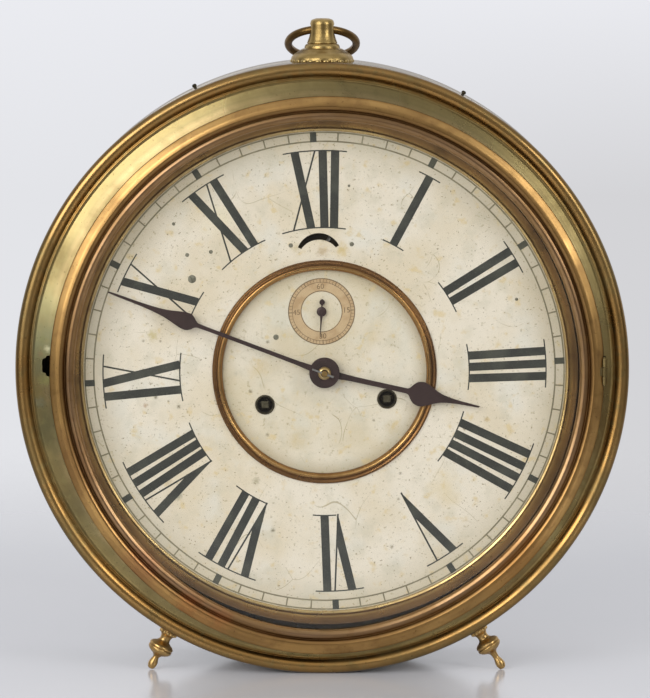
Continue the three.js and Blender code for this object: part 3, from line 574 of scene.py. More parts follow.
def noise(tree: bpy.types.NodeTree, place: Socket, size: float, detail: float) -> bpy.types.Node:
    """Adds noise.

    Args:
        tree: Tree that gets the node.
        place: Place in millimetres.
        size: Size of its patches in millimetres.
        detail: How ragged they are.

    Returns:
        The node, with a grey and a coloured output.
    """
    return add_node(tree, "ShaderNodeTexNoise", {"Vector": place, "Scale": 1 / size, "Detail": detail})


def blend(tree: bpy.types.NodeTree, share: Socket, under: Socket | str, over: Socket | str) -> Socket:
    """Mixes two colours.

    Args:
        tree: Tree that gets the node.
        share: How much of the upper colour shows.
        under: Lower colour, as a socket or a hex code.
        over: Upper colour, as a socket or a hex code.

    Returns:
        The mixed colour.
    """
    below, above = (linear(colour) if isinstance(colour, str) else colour for colour in (under, over))
    return add_node(tree, "ShaderNodeMix", {0: share, 6: below, 7: above}, data_type="RGBA").outputs[2]


class Surface:
    """A material under way: its shader, its place in millimetres and the patterns laid on it."""

    def __init__(self, name: str, sockets: dict[str, float], place: Placement = CASE) -> None:
        """Starts a material.

        Args:
            name: Name of the finish.
            sockets: Plain numbers for the shader's own sockets.
            place: Face that radii and marks are counted from.
        """
        self.material = bpy.data.materials.new(name)
        self.material.use_nodes = True
        self.tree = self.material.node_tree
        self.shader = self.tree.nodes["Principled BSDF"]
        self.place = place
        for socket, value in sockets.items():
            self.shader.inputs[socket].default_value = value
        coordinates = add_node(self.tree, "ShaderNodeTexCoord")
        scaled = add_node(
            self.tree,
            "ShaderNodeVectorMath",
            {0: coordinates.outputs["Object"], "Scale": 1 / MM},
            operation="SCALE",
        )
        self.point = scaled.outputs[0]
        self.spoke: Socket | None = None

    def radius(self) -> Socket:
        """Measures from the middle of the face, and keeps the direction for the lathe marks.

        Returns:
            Distance in millimetres.
        """
        middle = (self.place.x, 0.0, RIM_HEIGHT + self.place.z)
        moved = vector_maths(self.tree, "SUBTRACT", self.point, middle).outputs[0]
        flat = vector_maths(self.tree, "MULTIPLY", moved, FLATTEN).outputs[0]
        self.spoke = vector_maths(self.tree, "NORMALIZE", flat).outputs[0]
        return vector_maths(self.tree, "LENGTH", flat).outputs["Value"]

    def blotches(self, size: float, low: float, high: float, detail: float = 4.0) -> Socket:
        """Uneven patches, as tarnish and dirt gather.

        Args:
            size: Size of a patch in millimetres.
            low: Noise level where the patches start.
            high: Noise level where they are full.
            detail: How ragged they are.

        Returns:
            Mask from 0 to 1.
        """
        grey = noise(self.tree, self.point, size, detail).outputs[0]
        return ramp(self.tree, grey, low, high)

    def lathe_marks(self, radius: Socket, pitch: float) -> Socket:
        """Fine rings that a spinning or polishing tool leaves, uneven along their length.

        Args:
            radius: Radius in millimetres.
            pitch: Spacing of the rings in millimetres.

        Returns:
            Noise that changes fast across the rings and slowly along them.
        """
        across = maths(self.tree, "DIVIDE", radius, pitch)
        around = add_node(self.tree, "ShaderNodeSeparateXYZ", {0: self.spoke}).outputs
        parts = {0: around[0], 1: across, 2: around[2]}
        vector = add_node(self.tree, "ShaderNodeCombineXYZ", parts).outputs[0]
        return noise(self.tree, vector, 1.0, 3.0).outputs[0]

    def tint(self, under: Socket | str, over: str, mask: Socket, strength: float = 1.0) -> Socket:
        """Lays a colour over another where a mask says.

        Args:
            under: Colour below, as a socket or a hex code.
            over: Hex code of the colour on top.
            mask: Mask from 0 to 1.
            strength: How much of it shows.

        Returns:
            The mixed colour.
        """
        return blend(self.tree, maths(self.tree, "MULTIPLY", mask, strength), under, over)

    def spot(self, x: float, z: float, spread: float, ragged: float = 0.6) -> Socket:
        """Mask of one local mark on the face.

        Args:
            x: Place across the face.
            z: Place up the face.
            spread: Radius of the mark.
            ragged: How uneven its edge is, as a share of its radius.

        Returns:
            Mask, 1 in the middle of the mark and 0 outside it.
        """
        waves_in_radius = 2.4
        world = self.place.matrix() @ Vector((x, 0.0, z)) / MM
        middle = (world.x, 0.0, world.z)
        flat = vector_maths(self.tree, "MULTIPLY", self.point, FLATTEN).outputs[0]
        distance = vector_maths(self.tree, "DISTANCE", flat, middle).outputs["Value"]
        grey = noise(self.tree, self.point, spread / waves_in_radius, 4.0).outputs[0]
        edge = maths(self.tree, "MULTIPLY_ADD", grey, 2 * ragged * spread, distance)
        return ramp(self.tree, edge, spread * (1 + ragged), spread * ragged)

    def level(self, mask: Socket, low: float, high: float) -> Socket:
        """A number that follows a mask between two values."""
        levels = {"Value": mask, "To Min": low, "To Max": high}
        return add_node(self.tree, "ShaderNodeMapRange", levels).outputs[0]

    def let_through(self, share: Socket) -> None:
        """Lets light straight through the surface.

        Args:
            share: How much of it, from 0 to 1.
        """
        clear = add_node(self.tree, "ShaderNodeBsdfTransparent").outputs[0]
        shaders = {0: share, 1: self.shader.outputs[0], 2: clear}
        mix = add_node(self.tree, "ShaderNodeMixShader", shaders).outputs[0]
        self.tree.links.new(mix, self.tree.nodes["Material Output"].inputs[0])

    def done(
        self, colour: Socket, roughness: Socket, relief: Socket | None = None, height: float = 0.1
    ) -> bpy.types.Material:
        """Links the patterns to the shader.

        Args:
            colour: Colour of the surface.
            roughness: Roughness of the surface.
            relief: Pattern that is raised or sunk.
            height: Height of the relief in millimetres.

        Returns:
            The finished material.
        """
        self.tree.links.new(colour, self.shader.inputs["Base Color"])
        self.tree.links.new(roughness, self.shader.inputs["Roughness"])
        if relief is not None:
            levels = {"Height": relief, "Strength": 1.0, "Distance": height * MM}
            bump = add_node(self.tree, "ShaderNodeBump", levels).outputs[0]
            self.tree.links.new(bump, self.shader.inputs["Normal"])
        return self.material


@dataclass(frozen=True)
class Stain:
    """A local mark: its place and radius on the face, its colour and how much of it shows."""

    x: float
    z: float
    spread: float
    colour: str
    strength: float = 0.6


class Finish:
    """A finish that makes its material once."""

    name: str
    made: ClassVar[dict[str, bpy.types.Material]] = {}

    def material(self) -> bpy.types.Material:
        """Makes the material on first use.

        Returns:
            The material, which all the pieces with this finish share.
        """
        if self.name not in Finish.made:
            Finish.made[self.name] = self.build()
        return Finish.made[self.name]

    def build(self) -> bpy.types.Material:
        """Makes the material; each kind of finish says how."""
        raise NotImplementedError


@dataclass(frozen=True)
class SpunBrass(Finish):
    """Brass sheet spun on a lathe: it shines along its rings, and its colour changes from form to form,
    which lays painted highlights and painted shade on some forms.
    """

    name: str
    place: Placement
    rings: tuple[tuple[float, str], ...]
    tarnish: str
    shine: str
    roughness: float = 0.27
    girth: Girth = Girth.PLACE
    stains: tuple[Stain, ...] = ()
    pitch: float = 1.2
    tarnish_strength: float = 0.55
    bloom: str = "#8d7a52"
    bloom_strength: float = 0.0
    marking: float = 0.22
    marking_height: float = 0.05
    stains_end: float = 190.0
    stains_fade: float = 2.5
    patch_size: float = 34.0
    cloud_size: float = 9.0
    cloud_strength: float = 0.35
    mottle_size: float = 4.5
    speck_size: float = 1.6
    speck: str = "#2c2212"
    speck_strength: float = 0.35
    unevenness: float = 0.12

    def build(self) -> bpy.types.Material:
        """Makes the material.

        Returns:
            Spun brass with rings of colour that paint highlights and shade on some forms, tarnish in
            patches and lathe marks.
        """
        surface = Surface(self.name, {"Metallic": 1.0}, self.place)
        tree = surface.tree
        radius = surface.radius()
        across = radius
        if self.girth is Girth.PROFILE:
            profile = add_node(tree, "ShaderNodeAttribute", attribute_name=Girth.PROFILE.value)
            across = profile.outputs["Fac"]
        first, last = self.rings[0][0], self.rings[-1][0]
        wander_size, wander_reach = 26.0, 0.5
        wander = surface.blotches(wander_size, 0.3, 0.7)
        shifted = maths(tree, "MULTIPLY_ADD", wander, wander_reach, across)
        share = ramp(tree, shifted, first, last, smooth=False)
        # Colour by radius along the profile: its stops carry painted highlights and painted shade as well
        # as the colours of the brass and its tarnish.
        stops = [((place - first) / (last - first), code) for place, code in self.rings]
        colour = add_node(tree, "ShaderNodeValToRGB", {0: share}, stops=stops).outputs[0]
        marks = surface.lathe_marks(radius, self.pitch)
        patches = surface.blotches(self.patch_size, 0.42, 0.68)
        cloudy = surface.blotches(self.cloud_size, 0.5, 0.72)
        colour = surface.tint(colour, self.tarnish, patches, self.tarnish_strength)
        colour = surface.tint(colour, self.shine, marks, self.marking)
        colour = surface.tint(colour, self.tarnish, cloudy, self.cloud_strength)
        outer = self.stains_end + 0.4 * self.stains_fade
        near = ramp(tree, radius, outer, outer - self.stains_fade, smooth=False)
        for stain in self.stains:
            mask = surface.spot(stain.x, stain.z, stain.spread)
            kept = maths(tree, "MULTIPLY", mask, near)
            colour = surface.tint(colour, stain.colour, kept, stain.strength)
        mottle = surface.blotches(self.mottle_size, 0.5, 0.7)
        colour = surface.tint(colour, self.bloom, mottle, self.bloom_strength)
        specks = surface.blotches(self.speck_size, 0.7, 0.76, 1.0)
        colour = surface.tint(colour, self.speck, specks, self.speck_strength)
        roughness = surface.level(patches, self.roughness, self.roughness + self.unevenness)
        return surface.done(colour, roughness, marks, self.marking_height)


@dataclass(frozen=True)
class TurnedBrass(Finish):
    """Turned and cast brass: rubbed bright on its edges, brown where polish can't reach."""

    name: str = "turned brass, darkened in the hollows"
    bright: str = "#c2a86f"
    middle: str = "#9b804c"
    hollow: str = "#574322"
    roughness: float = 0.3
    unevenness: float = 0.15
    patch_size: float = 7.0
    patch_strength: float = 0.3
    grain_size: float = 0.9
    grain_height: float = 0.012

    def build(self) -> bpy.types.Material:
        """Makes the material.

        Returns:
            Brass that is light on its edges and dark in its hollows.
        """
        surface = Surface(self.name, {"Metallic": 1.0})
        tree = surface.tree
        bend = add_node(tree, "ShaderNodeNewGeometry").outputs["Pointiness"]
        hollows, flats, ridges = 0.43, 0.485, 0.54
        stops = [(hollows, self.hollow), (flats, self.middle), (ridges, self.bright)]
        colour = add_node(tree, "ShaderNodeValToRGB", {0: bend}, stops=stops).outputs[0]
        patches = surface.blotches(self.patch_size, 0.4, 0.75)
        colour = surface.tint(colour, self.hollow, patches, self.patch_strength)
        grain = surface.blotches(self.grain_size, 0.3, 0.8)
        roughness = surface.level(patches, self.roughness, self.roughness + self.unevenness)
        return surface.done(colour, roughness, grain, self.grain_height)


@dataclass(frozen=True)
class PlainMetal(Finish):
    """Metal with one look all over: fine scratches, dull patches and specks of dirt."""

    name: str
    colour: str
    dull: str
    roughness: float = 0.3
    metallic: float = 1.0
    patch: float = 20.0
    scratch: float = 1.5
    scratch_height: float = 0.03
    unevenness: float = 0.14
    dulling: float = 0.75
    speck_strength: float = 0.8

    def build(self) -> bpy.types.Material:
        """Makes the material.

        Returns:
            Metal with patches and fine scratches.
        """
        surface = Surface(self.name, {"Metallic": self.metallic})
        patches = surface.blotches(self.patch, 0.4, 0.7)
        colour = surface.tint(self.colour, self.dull, patches, self.dulling)
        specks = surface.blotches(self.scratch, 0.66, 0.74, 2.0)
        colour = surface.tint(colour, self.dull, specks, self.speck_strength)
        along = (0.15, 1.0, 0.15)
        stretched = vector_maths(surface.tree, "MULTIPLY", surface.point, along).outputs[0]
        lines = noise(surface.tree, stretched, self.scratch, 4.0).outputs[0]
        roughness = surface.level(patches, self.roughness, self.roughness + self.unevenness)
        return surface.done(colour, roughness, lines, self.scratch_height)


@dataclass(frozen=True)
class DialPaint(Finish):
    """Cream paint on a metal dial: matt, yellowed in patches, darker at its edge as painted shade, specked
    and stained.
    """

    name: str = "aged cream dial paint"
    clean: str = "#dad0bf"
    warm: str = "#cfc1a7"
    cool: str = "#d3cec2"
    # Colour and radii of the darkening towards the edge: painted shade beside the raised rim round the
    # paint.
    edge: str = "#bdb197"
    edge_shade_from: float = 118.0
    edge_shade_to: float = 152.0
    dirt: str = "#8f8158"
    grime: str = "#b8b19b"
    yellow: str = "#cab27c"
    speck: str = "#6a5a3a"
    stains: tuple[Stain, ...] = ()
    hair_spacing: float = 62.0
    hair_bend: float = 70.0
    bend_size: float = 50.0
    relief_height: float = 0.04

    def build(self) -> bpy.types.Material:
        """Makes the material.

        Returns:
            Aged dial paint.
        """
        surface = Surface(self.name, {"Metallic": 0.0, "Specular IOR Level": 0.35}, DIAL)
        warm = surface.blotches(42.0, 0.4, 0.66)
        cool = surface.blotches(23.0, 0.5, 0.72)
        colour = surface.tint(self.clean, self.warm, warm, 0.8)
        colour = surface.tint(colour, self.cool, cool, 0.7)
        # Painted shade: darker towards the edge.
        rim = ramp(surface.tree, surface.radius(), self.edge_shade_from, self.edge_shade_to)
        colour = surface.tint(colour, self.edge, rim, 0.75)
        grime = surface.blotches(11.0, 0.48, 0.74, 6.0)
        colour = surface.tint(colour, self.grime, grime, 0.4)
        yellow = surface.blotches(7.0, 0.58, 0.72)
        colour = surface.tint(colour, self.yellow, yellow, 0.55)
        fine = surface.blotches(2.2, 0.62, 0.74, 2.0)
        colour = surface.tint(colour, self.dirt, fine, 0.4)
        specks = surface.blotches(1.1, 0.7, 0.75, 1.0)
        colour = surface.tint(colour, self.speck, specks, 0.7)
        colour = surface.tint(colour, self.dirt, self.hairlines(surface), 0.6)
        for stain in self.stains:
            mask = surface.spot(stain.x, stain.z, stain.spread)
            colour = surface.tint(colour, stain.colour, mask, stain.strength)
        roughness = surface.level(cool, 0.5, 0.66)
        return surface.done(colour, roughness, fine, self.relief_height)

    def hairlines(self, surface: Surface) -> Socket:
        """Lays out the few long hair-thin cracks that the paint has.

        Args:
            surface: The paint under way.

        Returns:
            Mask, 1 on a crack and 0 beside it.
        """
        tree = surface.tree
        bends = noise(tree, surface.point, self.bend_size, 1.0).outputs["Color"]
        wavy = vector_maths(tree, "MULTIPLY_ADD", bends, (self.hair_bend,) * 3, surface.point).outputs[0]
        cells = {"Vector": wavy, "Scale": 1 / self.hair_spacing}
        crackle = add_node(tree, "ShaderNodeTexVoronoi", cells, feature="DISTANCE_TO_EDGE").outputs[0]
        hair = ramp(tree, crackle, 0.004, 0.0015, smooth=False)
        return maths(tree, "MULTIPLY", hair, surface.blotches(30.0, 0.5, 0.6))


@dataclass(frozen=True)
class OldInk(Finish):
    """Dark paint or printing laid on a dial, worn thin in places."""

    name: str
    colour: str
    worn: str
    wear: float = 0.35
    size: float = 3.0
    relief_height: float = 0.02

    def build(self) -> bpy.types.Material:
        """Makes the material.

        Returns:
            Worn ink or paint.
        """
        surface = Surface(self.name, {"Metallic": 0.0, "Specular IOR Level": 0.3})
        thin = surface.blotches(self.size * 4, 0.4, 0.75)
        colour = surface.tint(self.colour, self.worn, thin, self.wear)
        rubbed = surface.blotches(self.size / 3, 0.62, 0.72, 2.0)
        colour = surface.tint(colour, self.worn, rubbed, min(1.0, 2 * self.wear))
        roughness = surface.level(thin, 0.45, 0.6)
        return surface.done(colour, roughness, rubbed, self.relief_height)


@dataclass(frozen=True)
class WindowGlass(Finish):
    """Flat window glass: clear, with a faint reflection."""

    name: str = "flat clear window glass"

    def build(self) -> bpy.types.Material:
        """Makes the material.

        Returns:
            Clear glass with a little dust, which lets light from lamps and polished brass straight through.
        """
        surface = Surface(
            self.name, {"Metallic": 0.0, "Roughness": 0.0, "Transmission Weight": 1.0, "IOR": 1.45}
        )
        tree = surface.tree
        dust = surface.blotches(3.0, 0.55, 0.8)
        colour = surface.tint("#fbfdfb", "#f1f1ea", dust, 0.6)
        tree.links.new(colour, surface.shader.inputs["Base Color"])
        light = add_node(tree, "ShaderNodeLightPath").outputs
        outside = maths(tree, "SUBTRACT", 1.0, light["Is Transmission Ray"])
        bounced = maths(tree, "MAXIMUM", light["Is Glossy Ray"], light["Is Diffuse Ray"])
        passing = maths(tree, "MULTIPLY", bounced, outside)
        surface.let_through(maths(tree, "MAXIMUM", passing, light["Is Shadow Ray"]))
        return surface.material


# Front rim: golden on the bead, dull olive with grey-green patches on the band, with painted shade
# deepening the groove's brown, on the flange behind the door and at the bead's outer edge, and a painted
# highlight along the lip.
RIM_BRASS = SpunBrass(
    "spun brass under olive tarnish",
    CASE,
    (
        # Flange behind the door darkened as painted shade.
        (148.0, "#4a432a"),
        (163.0, "#6c5e3c"),
        (168.6, "#9c8962"),
        (171.2, "#897b55"),
        (175.4, "#8c7c52"),
        # Painted highlight along the lip.
        (176.8, "#b89f68"),
        (177.5, "#94733f"),
        # The groove's brown tarnish, deepened by painted shade.
        (178.4, "#6c4c22"),
        (179.4, "#8c6631"),
        (180.6, "#ab7e42"),
        (183.6, "#b08a54"),
        # Bead darker towards its outer edge as painted shade.
        (187.4, "#76582f"),
    ),
    tarnish="#685b3a",
    shine="#b8a36c",
    bloom="#94895c",
    bloom_strength=0.28,
    marking=0.16,
    marking_height=0.022,
    stains_end=177.5,
    stains=(
        Stain(-168.0, 12.0, 26.0, "#7d8062", 0.75),
        Stain(-172.0, 40.0, 24.0, "#97926a", 0.65),
        Stain(-166.0, -34.0, 26.0, "#5d5c42", 0.7),
        Stain(-149.0, -86.0, 24.0, "#554f38", 0.55),
        Stain(151.0, -88.0, 22.0, "#4f3d1f", 0.55),
        Stain(-169.0, -6.0, 5.5, "#a5a468", 0.7),
        Stain(-167.4, 13.2, 3.0, "#d3cea8", 0.75),
        Stain(-171.6, 10.2, 2.6, "#8a6f55", 0.5),
        Stain(-172.6, -20.0, 5.0, "#7c7f6c", 0.5),
        Stain(-170.4, 19.0, 4.0, "#7a7a52", 0.5),
        Stain(160.0, -40.0, 52.0, "#5f4523", 0.6),
        Stain(110.0, -130.0, 40.0, "#735635", 0.4),
    ),
)
# Door ring: warmer than the rim, copper brown between its beads, deepened there by painted shade, scuffed
# red at the lower left, and a painted shadow line at its outer edge where it stands off the band.
BEZEL_BRASS = SpunBrass(
    "spun brass gone copper brown",
    DOOR,
    (
        (153.0, "#6b4f34"),
        (155.0, "#9c7d58"),
        (157.2, "#97785c"),
        # Painted shade in the valley between the beads.
        (159.9, "#5f452b"),
        (161.6, "#8f6b3f"),
        (164.6, "#b18b54"),
        (167.8, "#b8925a"),
        (168.8, "#9a7645"),
        # Painted shadow line at the outer edge.
        (169.3, "#4a3620"),
    ),
    tarnish="#7c5d38",
    shine="#d0ad70",
    bloom="#8f6c48",
    bloom_strength=0.2,
    roughness=0.28,
    marking=0.16,
    marking_height=0.03,
    girth=Girth.PROFILE,
    stains=(
        Stain(-84.0, -143.0, 15.0, "#a9693f", 0.5),
        Stain(-66.0, -152.0, 14.0, "#a96c42", 0.5),
        Stain(-112.0, -120.0, 22.0, "#8d5a40", 0.5),
        Stain(120.0, -120.0, 40.0, "#946532", 0.45),
        Stain(-152.0, -58.0, 30.0, "#6f4e30", 0.5),
    ),
)
# Slope between dial and door: painted highlights on its lip and on the ring beside it, painted shade in the
# groove between them, and browner outward as painted shade where the door shades it.
SURROUND_BRASS = SpunBrass(
    "lacquered brass surround",
    DIAL,
    (
        (147.6, "#e2cb94"),
        (149.3, "#ccae74"),
        (150.1, "#735229"),
        (151.0, "#b79860"),
        (152.4, "#8a693f"),
        (154.5, "#705438"),
        (156.0, "#5a4430"),
    ),
    tarnish="#76583a",
    shine="#cfae74",
    tarnish_strength=0.4,
    marking_height=0.02,
)
# Ring round the centre: a painted highlight along the bead beside painted shade in the cove.
RING_BRASS = SpunBrass(
    "lacquered brass ring",
    DIAL,
    (
        (62.4, "#4d3a1c"),
        (63.3, "#a87c45"),
        (64.6, "#c99e62"),
        (66.2, "#6a4320"),
        (67.6, "#9b7046"),
        (69.0, "#6b482a"),
    ),
    tarnish="#70491d",
    shine="#d0a765",
    tarnish_strength=0.35,
    roughness=0.24,
    pitch=0.7,
    marking=0.1,
    marking_height=0.015,
)
# Pendant, bow and feet: the same brass from yellow to brown, as hands have left it.
TURNED_BRASS = TurnedBrass()
BOW_BRASS = TurnedBrass(
    "cast brass ring, brown with handling", bright="#806438", middle="#432f1c", hollow="#1f150d"
)
FOOT_BRASS = TurnedBrass(
    "turned brass feet, rubbed to orange gold", bright="#d6b477", middle="#b08c55", hollow="#6b4d28"
)
# Brass of the collet and of the movement: satin, with dull patches where oil has dried; the movement's
# front plate is painted dark as shade.
COLLET_BRASS = PlainMetal("turned collet brass", "#d2bb8a", "#a3864f", roughness=0.36, patch=6.0)
# Front plate: its dark colour is painted shade behind the dial.
SHADED_BRASS = PlainMetal("plate brass painted dark as shade", "#4f4128", "#332919", roughness=0.55, patch=14.0)
WORN_STEEL = PlainMetal("dark square steel", "#6b6551", "#423d2e", roughness=0.45, patch=3.0)
MOVEMENT_BRASS = PlainMetal("satin movement brass", "#b3925a", "#8a6c3c", roughness=0.34)
# Drum and back: plating gone milky, so that it gives a soft grey sheen and no mirror image.
NICKEL = PlainMetal(
    "dulled nickel plate", "#c6c1ba", "#bab4ab", roughness=0.42, patch=60.0, unevenness=0.06
)
# Steels, from the bright arbors to the hands, whose blue has turned purple brown.
STEEL = PlainMetal("bright steel", "#9d9c98", "#77736b", roughness=0.32)
SPRING_STEEL = PlainMetal("tempered spring steel", "#5a5f66", "#3f4348", roughness=0.3)
BLUED_STEEL = PlainMetal(
    "blued steel gone purple brown",
    "#413130",
    "#2f2423",
    roughness=0.42,
    metallic=0.55,
    patch=12.0,
    scratch=1.0,
)
HOLE_STEEL = PlainMetal(
    "blackened steel bush", "#46402f", "#27231a", roughness=0.4, metallic=0.8, patch=4.0
)
PIN_STEEL = PlainMetal("grey dial pin", "#8b8877", "#5f5c4e", roughness=0.5, metallic=0.7, patch=1.5)
# Paint and print: black that has gone greenish grey, and thinner browns on track and paper.
NUMERAL_PAINT = OldInk("worn black numeral paint", "#333430", "#5f6054", 0.3)
TRACK_INK = OldInk("brown-grey track line", "#787059", "#a39a80", 0.5)
BLOCK_INK = OldInk("worn black track mark", "#3c3d37", "#6e6c57", 0.35)
SECONDS_INK = OldInk("faded printing on paper", "#6c5a43", "#957b5a", 0.4, size=2.0)
# Paper of the seconds dial: matt and browned, with its fibres just showing.
PAPER = PlainMetal(
    "aged printed paper",
    "#baa07b",
    "#a68863",
    roughness=0.75,
    metallic=0.0,
    patch=6.0,
    scratch=1.2,
    scratch_height=0.02,
)
GLASS = WindowGlass()
# Dial paint: a warm cream with stains near the slot, under IX and on the lower left.
PLATE_PAINT = DialPaint(
    stains=(
        Stain(-14.0, 77.0, 4.5, "#b2a06c", 0.5),
        Stain(14.5, 74.5, 6.0, "#c0a766", 0.7),
        Stain(2.0, 74.0, 5.0, "#a18455", 0.55),
        Stain(-94.0, -72.0, 4.0, "#7d7f6c", 0.9),
        Stain(-100.0, -62.0, 4.5, "#a48c5c", 0.55),
        Stain(-104.2, -10.5, 1.8, "#5d543a", 0.8),
        Stain(-90.4, -17.1, 1.7, "#5d543a", 0.8),
        Stain(-96.5, -13.5, 1.1, "#6b6146", 0.7),
        Stain(-110.9, -15.4, 2.2, "#9a7550", 0.6),
        Stain(-104.1, 27.7, 5.0, "#b5a56e", 0.75),
        Stain(-110.1, 24.5, 1.3, "#6b6146", 0.7),
        Stain(-99.6, 23.8, 1.2, "#6b6146", 0.7),
        Stain(70.0, -76.0, 16.0, "#cbb88c", 0.5),
        Stain(-60.0, 98.0, 14.0, "#d9cfae", 0.5),
        Stain(104.0, 60.0, 3.2, "#b39a62", 0.6),
        Stain(98.0, -34.0, 2.4, "#a58a55", 0.6),
        Stain(-36.4, -96.4, 2.0, "#5d543a", 0.8),
        Stain(-45.2, -65.4, 3.2, "#8c8466", 0.6),
        Stain(43.6, -64.8, 1.4, "#5d543a", 0.7),
        Stain(41.6, -80.6, 1.3, "#5d543a", 0.6),
        Stain(36.2, -110.1, 1.8, "#6b6146", 0.7),
    ),
)
# Centre plate paint: darker towards the ring round it, as painted shade in the recess.
CENTRE_PAINT = DialPaint(
    name="aged cream paint of the centre plate",
    clean="#d5cbb8",
    warm="#c8ba9d",
    cool="#cdc8b9",
    edge="#a99b7e",
    edge_shade_from=52.0,
    edge_shade_to=64.0,
    stains=(
        Stain(-40.0, 4.0, 9.0, "#c4ad7d", 0.5),
        Stain(-20.0, -42.0, 8.0, "#c0ab7e", 0.45),
        Stain(40.0, -36.0, 7.0, "#bba578", 0.45),
        Stain(-34.0, 20.0, 1.6, "#6b6146", 0.8),
        Stain(-46.0, -10.0, 1.8, "#6b6146", 0.7),
        Stain(30.0, 20.0, 6.0, "#c9b68c", 0.4),
        Stain(-36.9, -37.2, 1.6, "#6b6146", 0.7),
        Stain(28.8, -31.4, 1.3, "#6b6146", 0.7),
        Stain(-54.5, 1.4, 2.2, "#b3ab97", 0.7),
    ),
)
BY_SLOT: dict[str, Finish] = {
    Slot.OLIVE_BRASS.value: RIM_BRASS,
    Slot.COPPER_BRASS.value: BEZEL_BRASS,
    Slot.GILT.value: RING_BRASS,
    Slot.BRASS.value: MOVEMENT_BRASS,
    Slot.NICKEL.value: NICKEL,
    Slot.STEEL.value: STEEL,
    Slot.SPRING_STEEL.value: SPRING_STEEL,
    Slot.BLACKENED_STEEL.value: BLUED_STEEL,
    Slot.DIAL_PAINT.value: PLATE_PAINT,
    Slot.AGED_PAPER.value: PAPER,
    Slot.GLASS.value: GLASS,
}
BY_NODE: dict[str, Finish] = {
    "hinge_leaf": RIM_BRASS,
    "hinge_pin": RIM_BRASS,
    "front_plate": SHADED_BRASS,
    "winding_arbor_left": WORN_STEEL,
    "winding_arbor_right": WORN_STEEL,
}


# Pieces

def add_piece(
    name: str,
    shell: Shell,
    matrix: Matrix,
    body: Body,
    finish: Finish,
    stands_for: Sequence[str] = (),
    crease: float = 32.0,
) -> bpy.types.Object:
    """Adds a piece to the clock.

    Args:
        name: Name of the piece.
        shell: Its shape in millimetres.
        matrix: Matrix to metres in the shared frame.
        body: CAD body that it rides on.
        finish: Its finish.
        stands_for: CAD nodes that it replaces.
        crease: Angle in degrees above which an edge stays sharp.

    Returns:
        The object.
    """
    bmesh.ops.recalc_face_normals(shell, faces=shell.faces)
    shell.transform(matrix)
    mesh = bpy.data.meshes.new(name)
    shell.to_mesh(mesh)
    shell.free()
    mesh.shade_smooth()
    mesh.set_sharp_from_angle(angle=math.radians(crease))
    mesh.materials.append(finish.material())
    piece = bpy.data.objects.new(name, mesh)
    bpy.context.scene.collection.objects.link(piece)
    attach(piece, body.value)
    if stands_for:
        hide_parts(*stands_for)
    LOG.info("%s: %d faces on %s", name, len(mesh.polygons), body.value)
    return piece


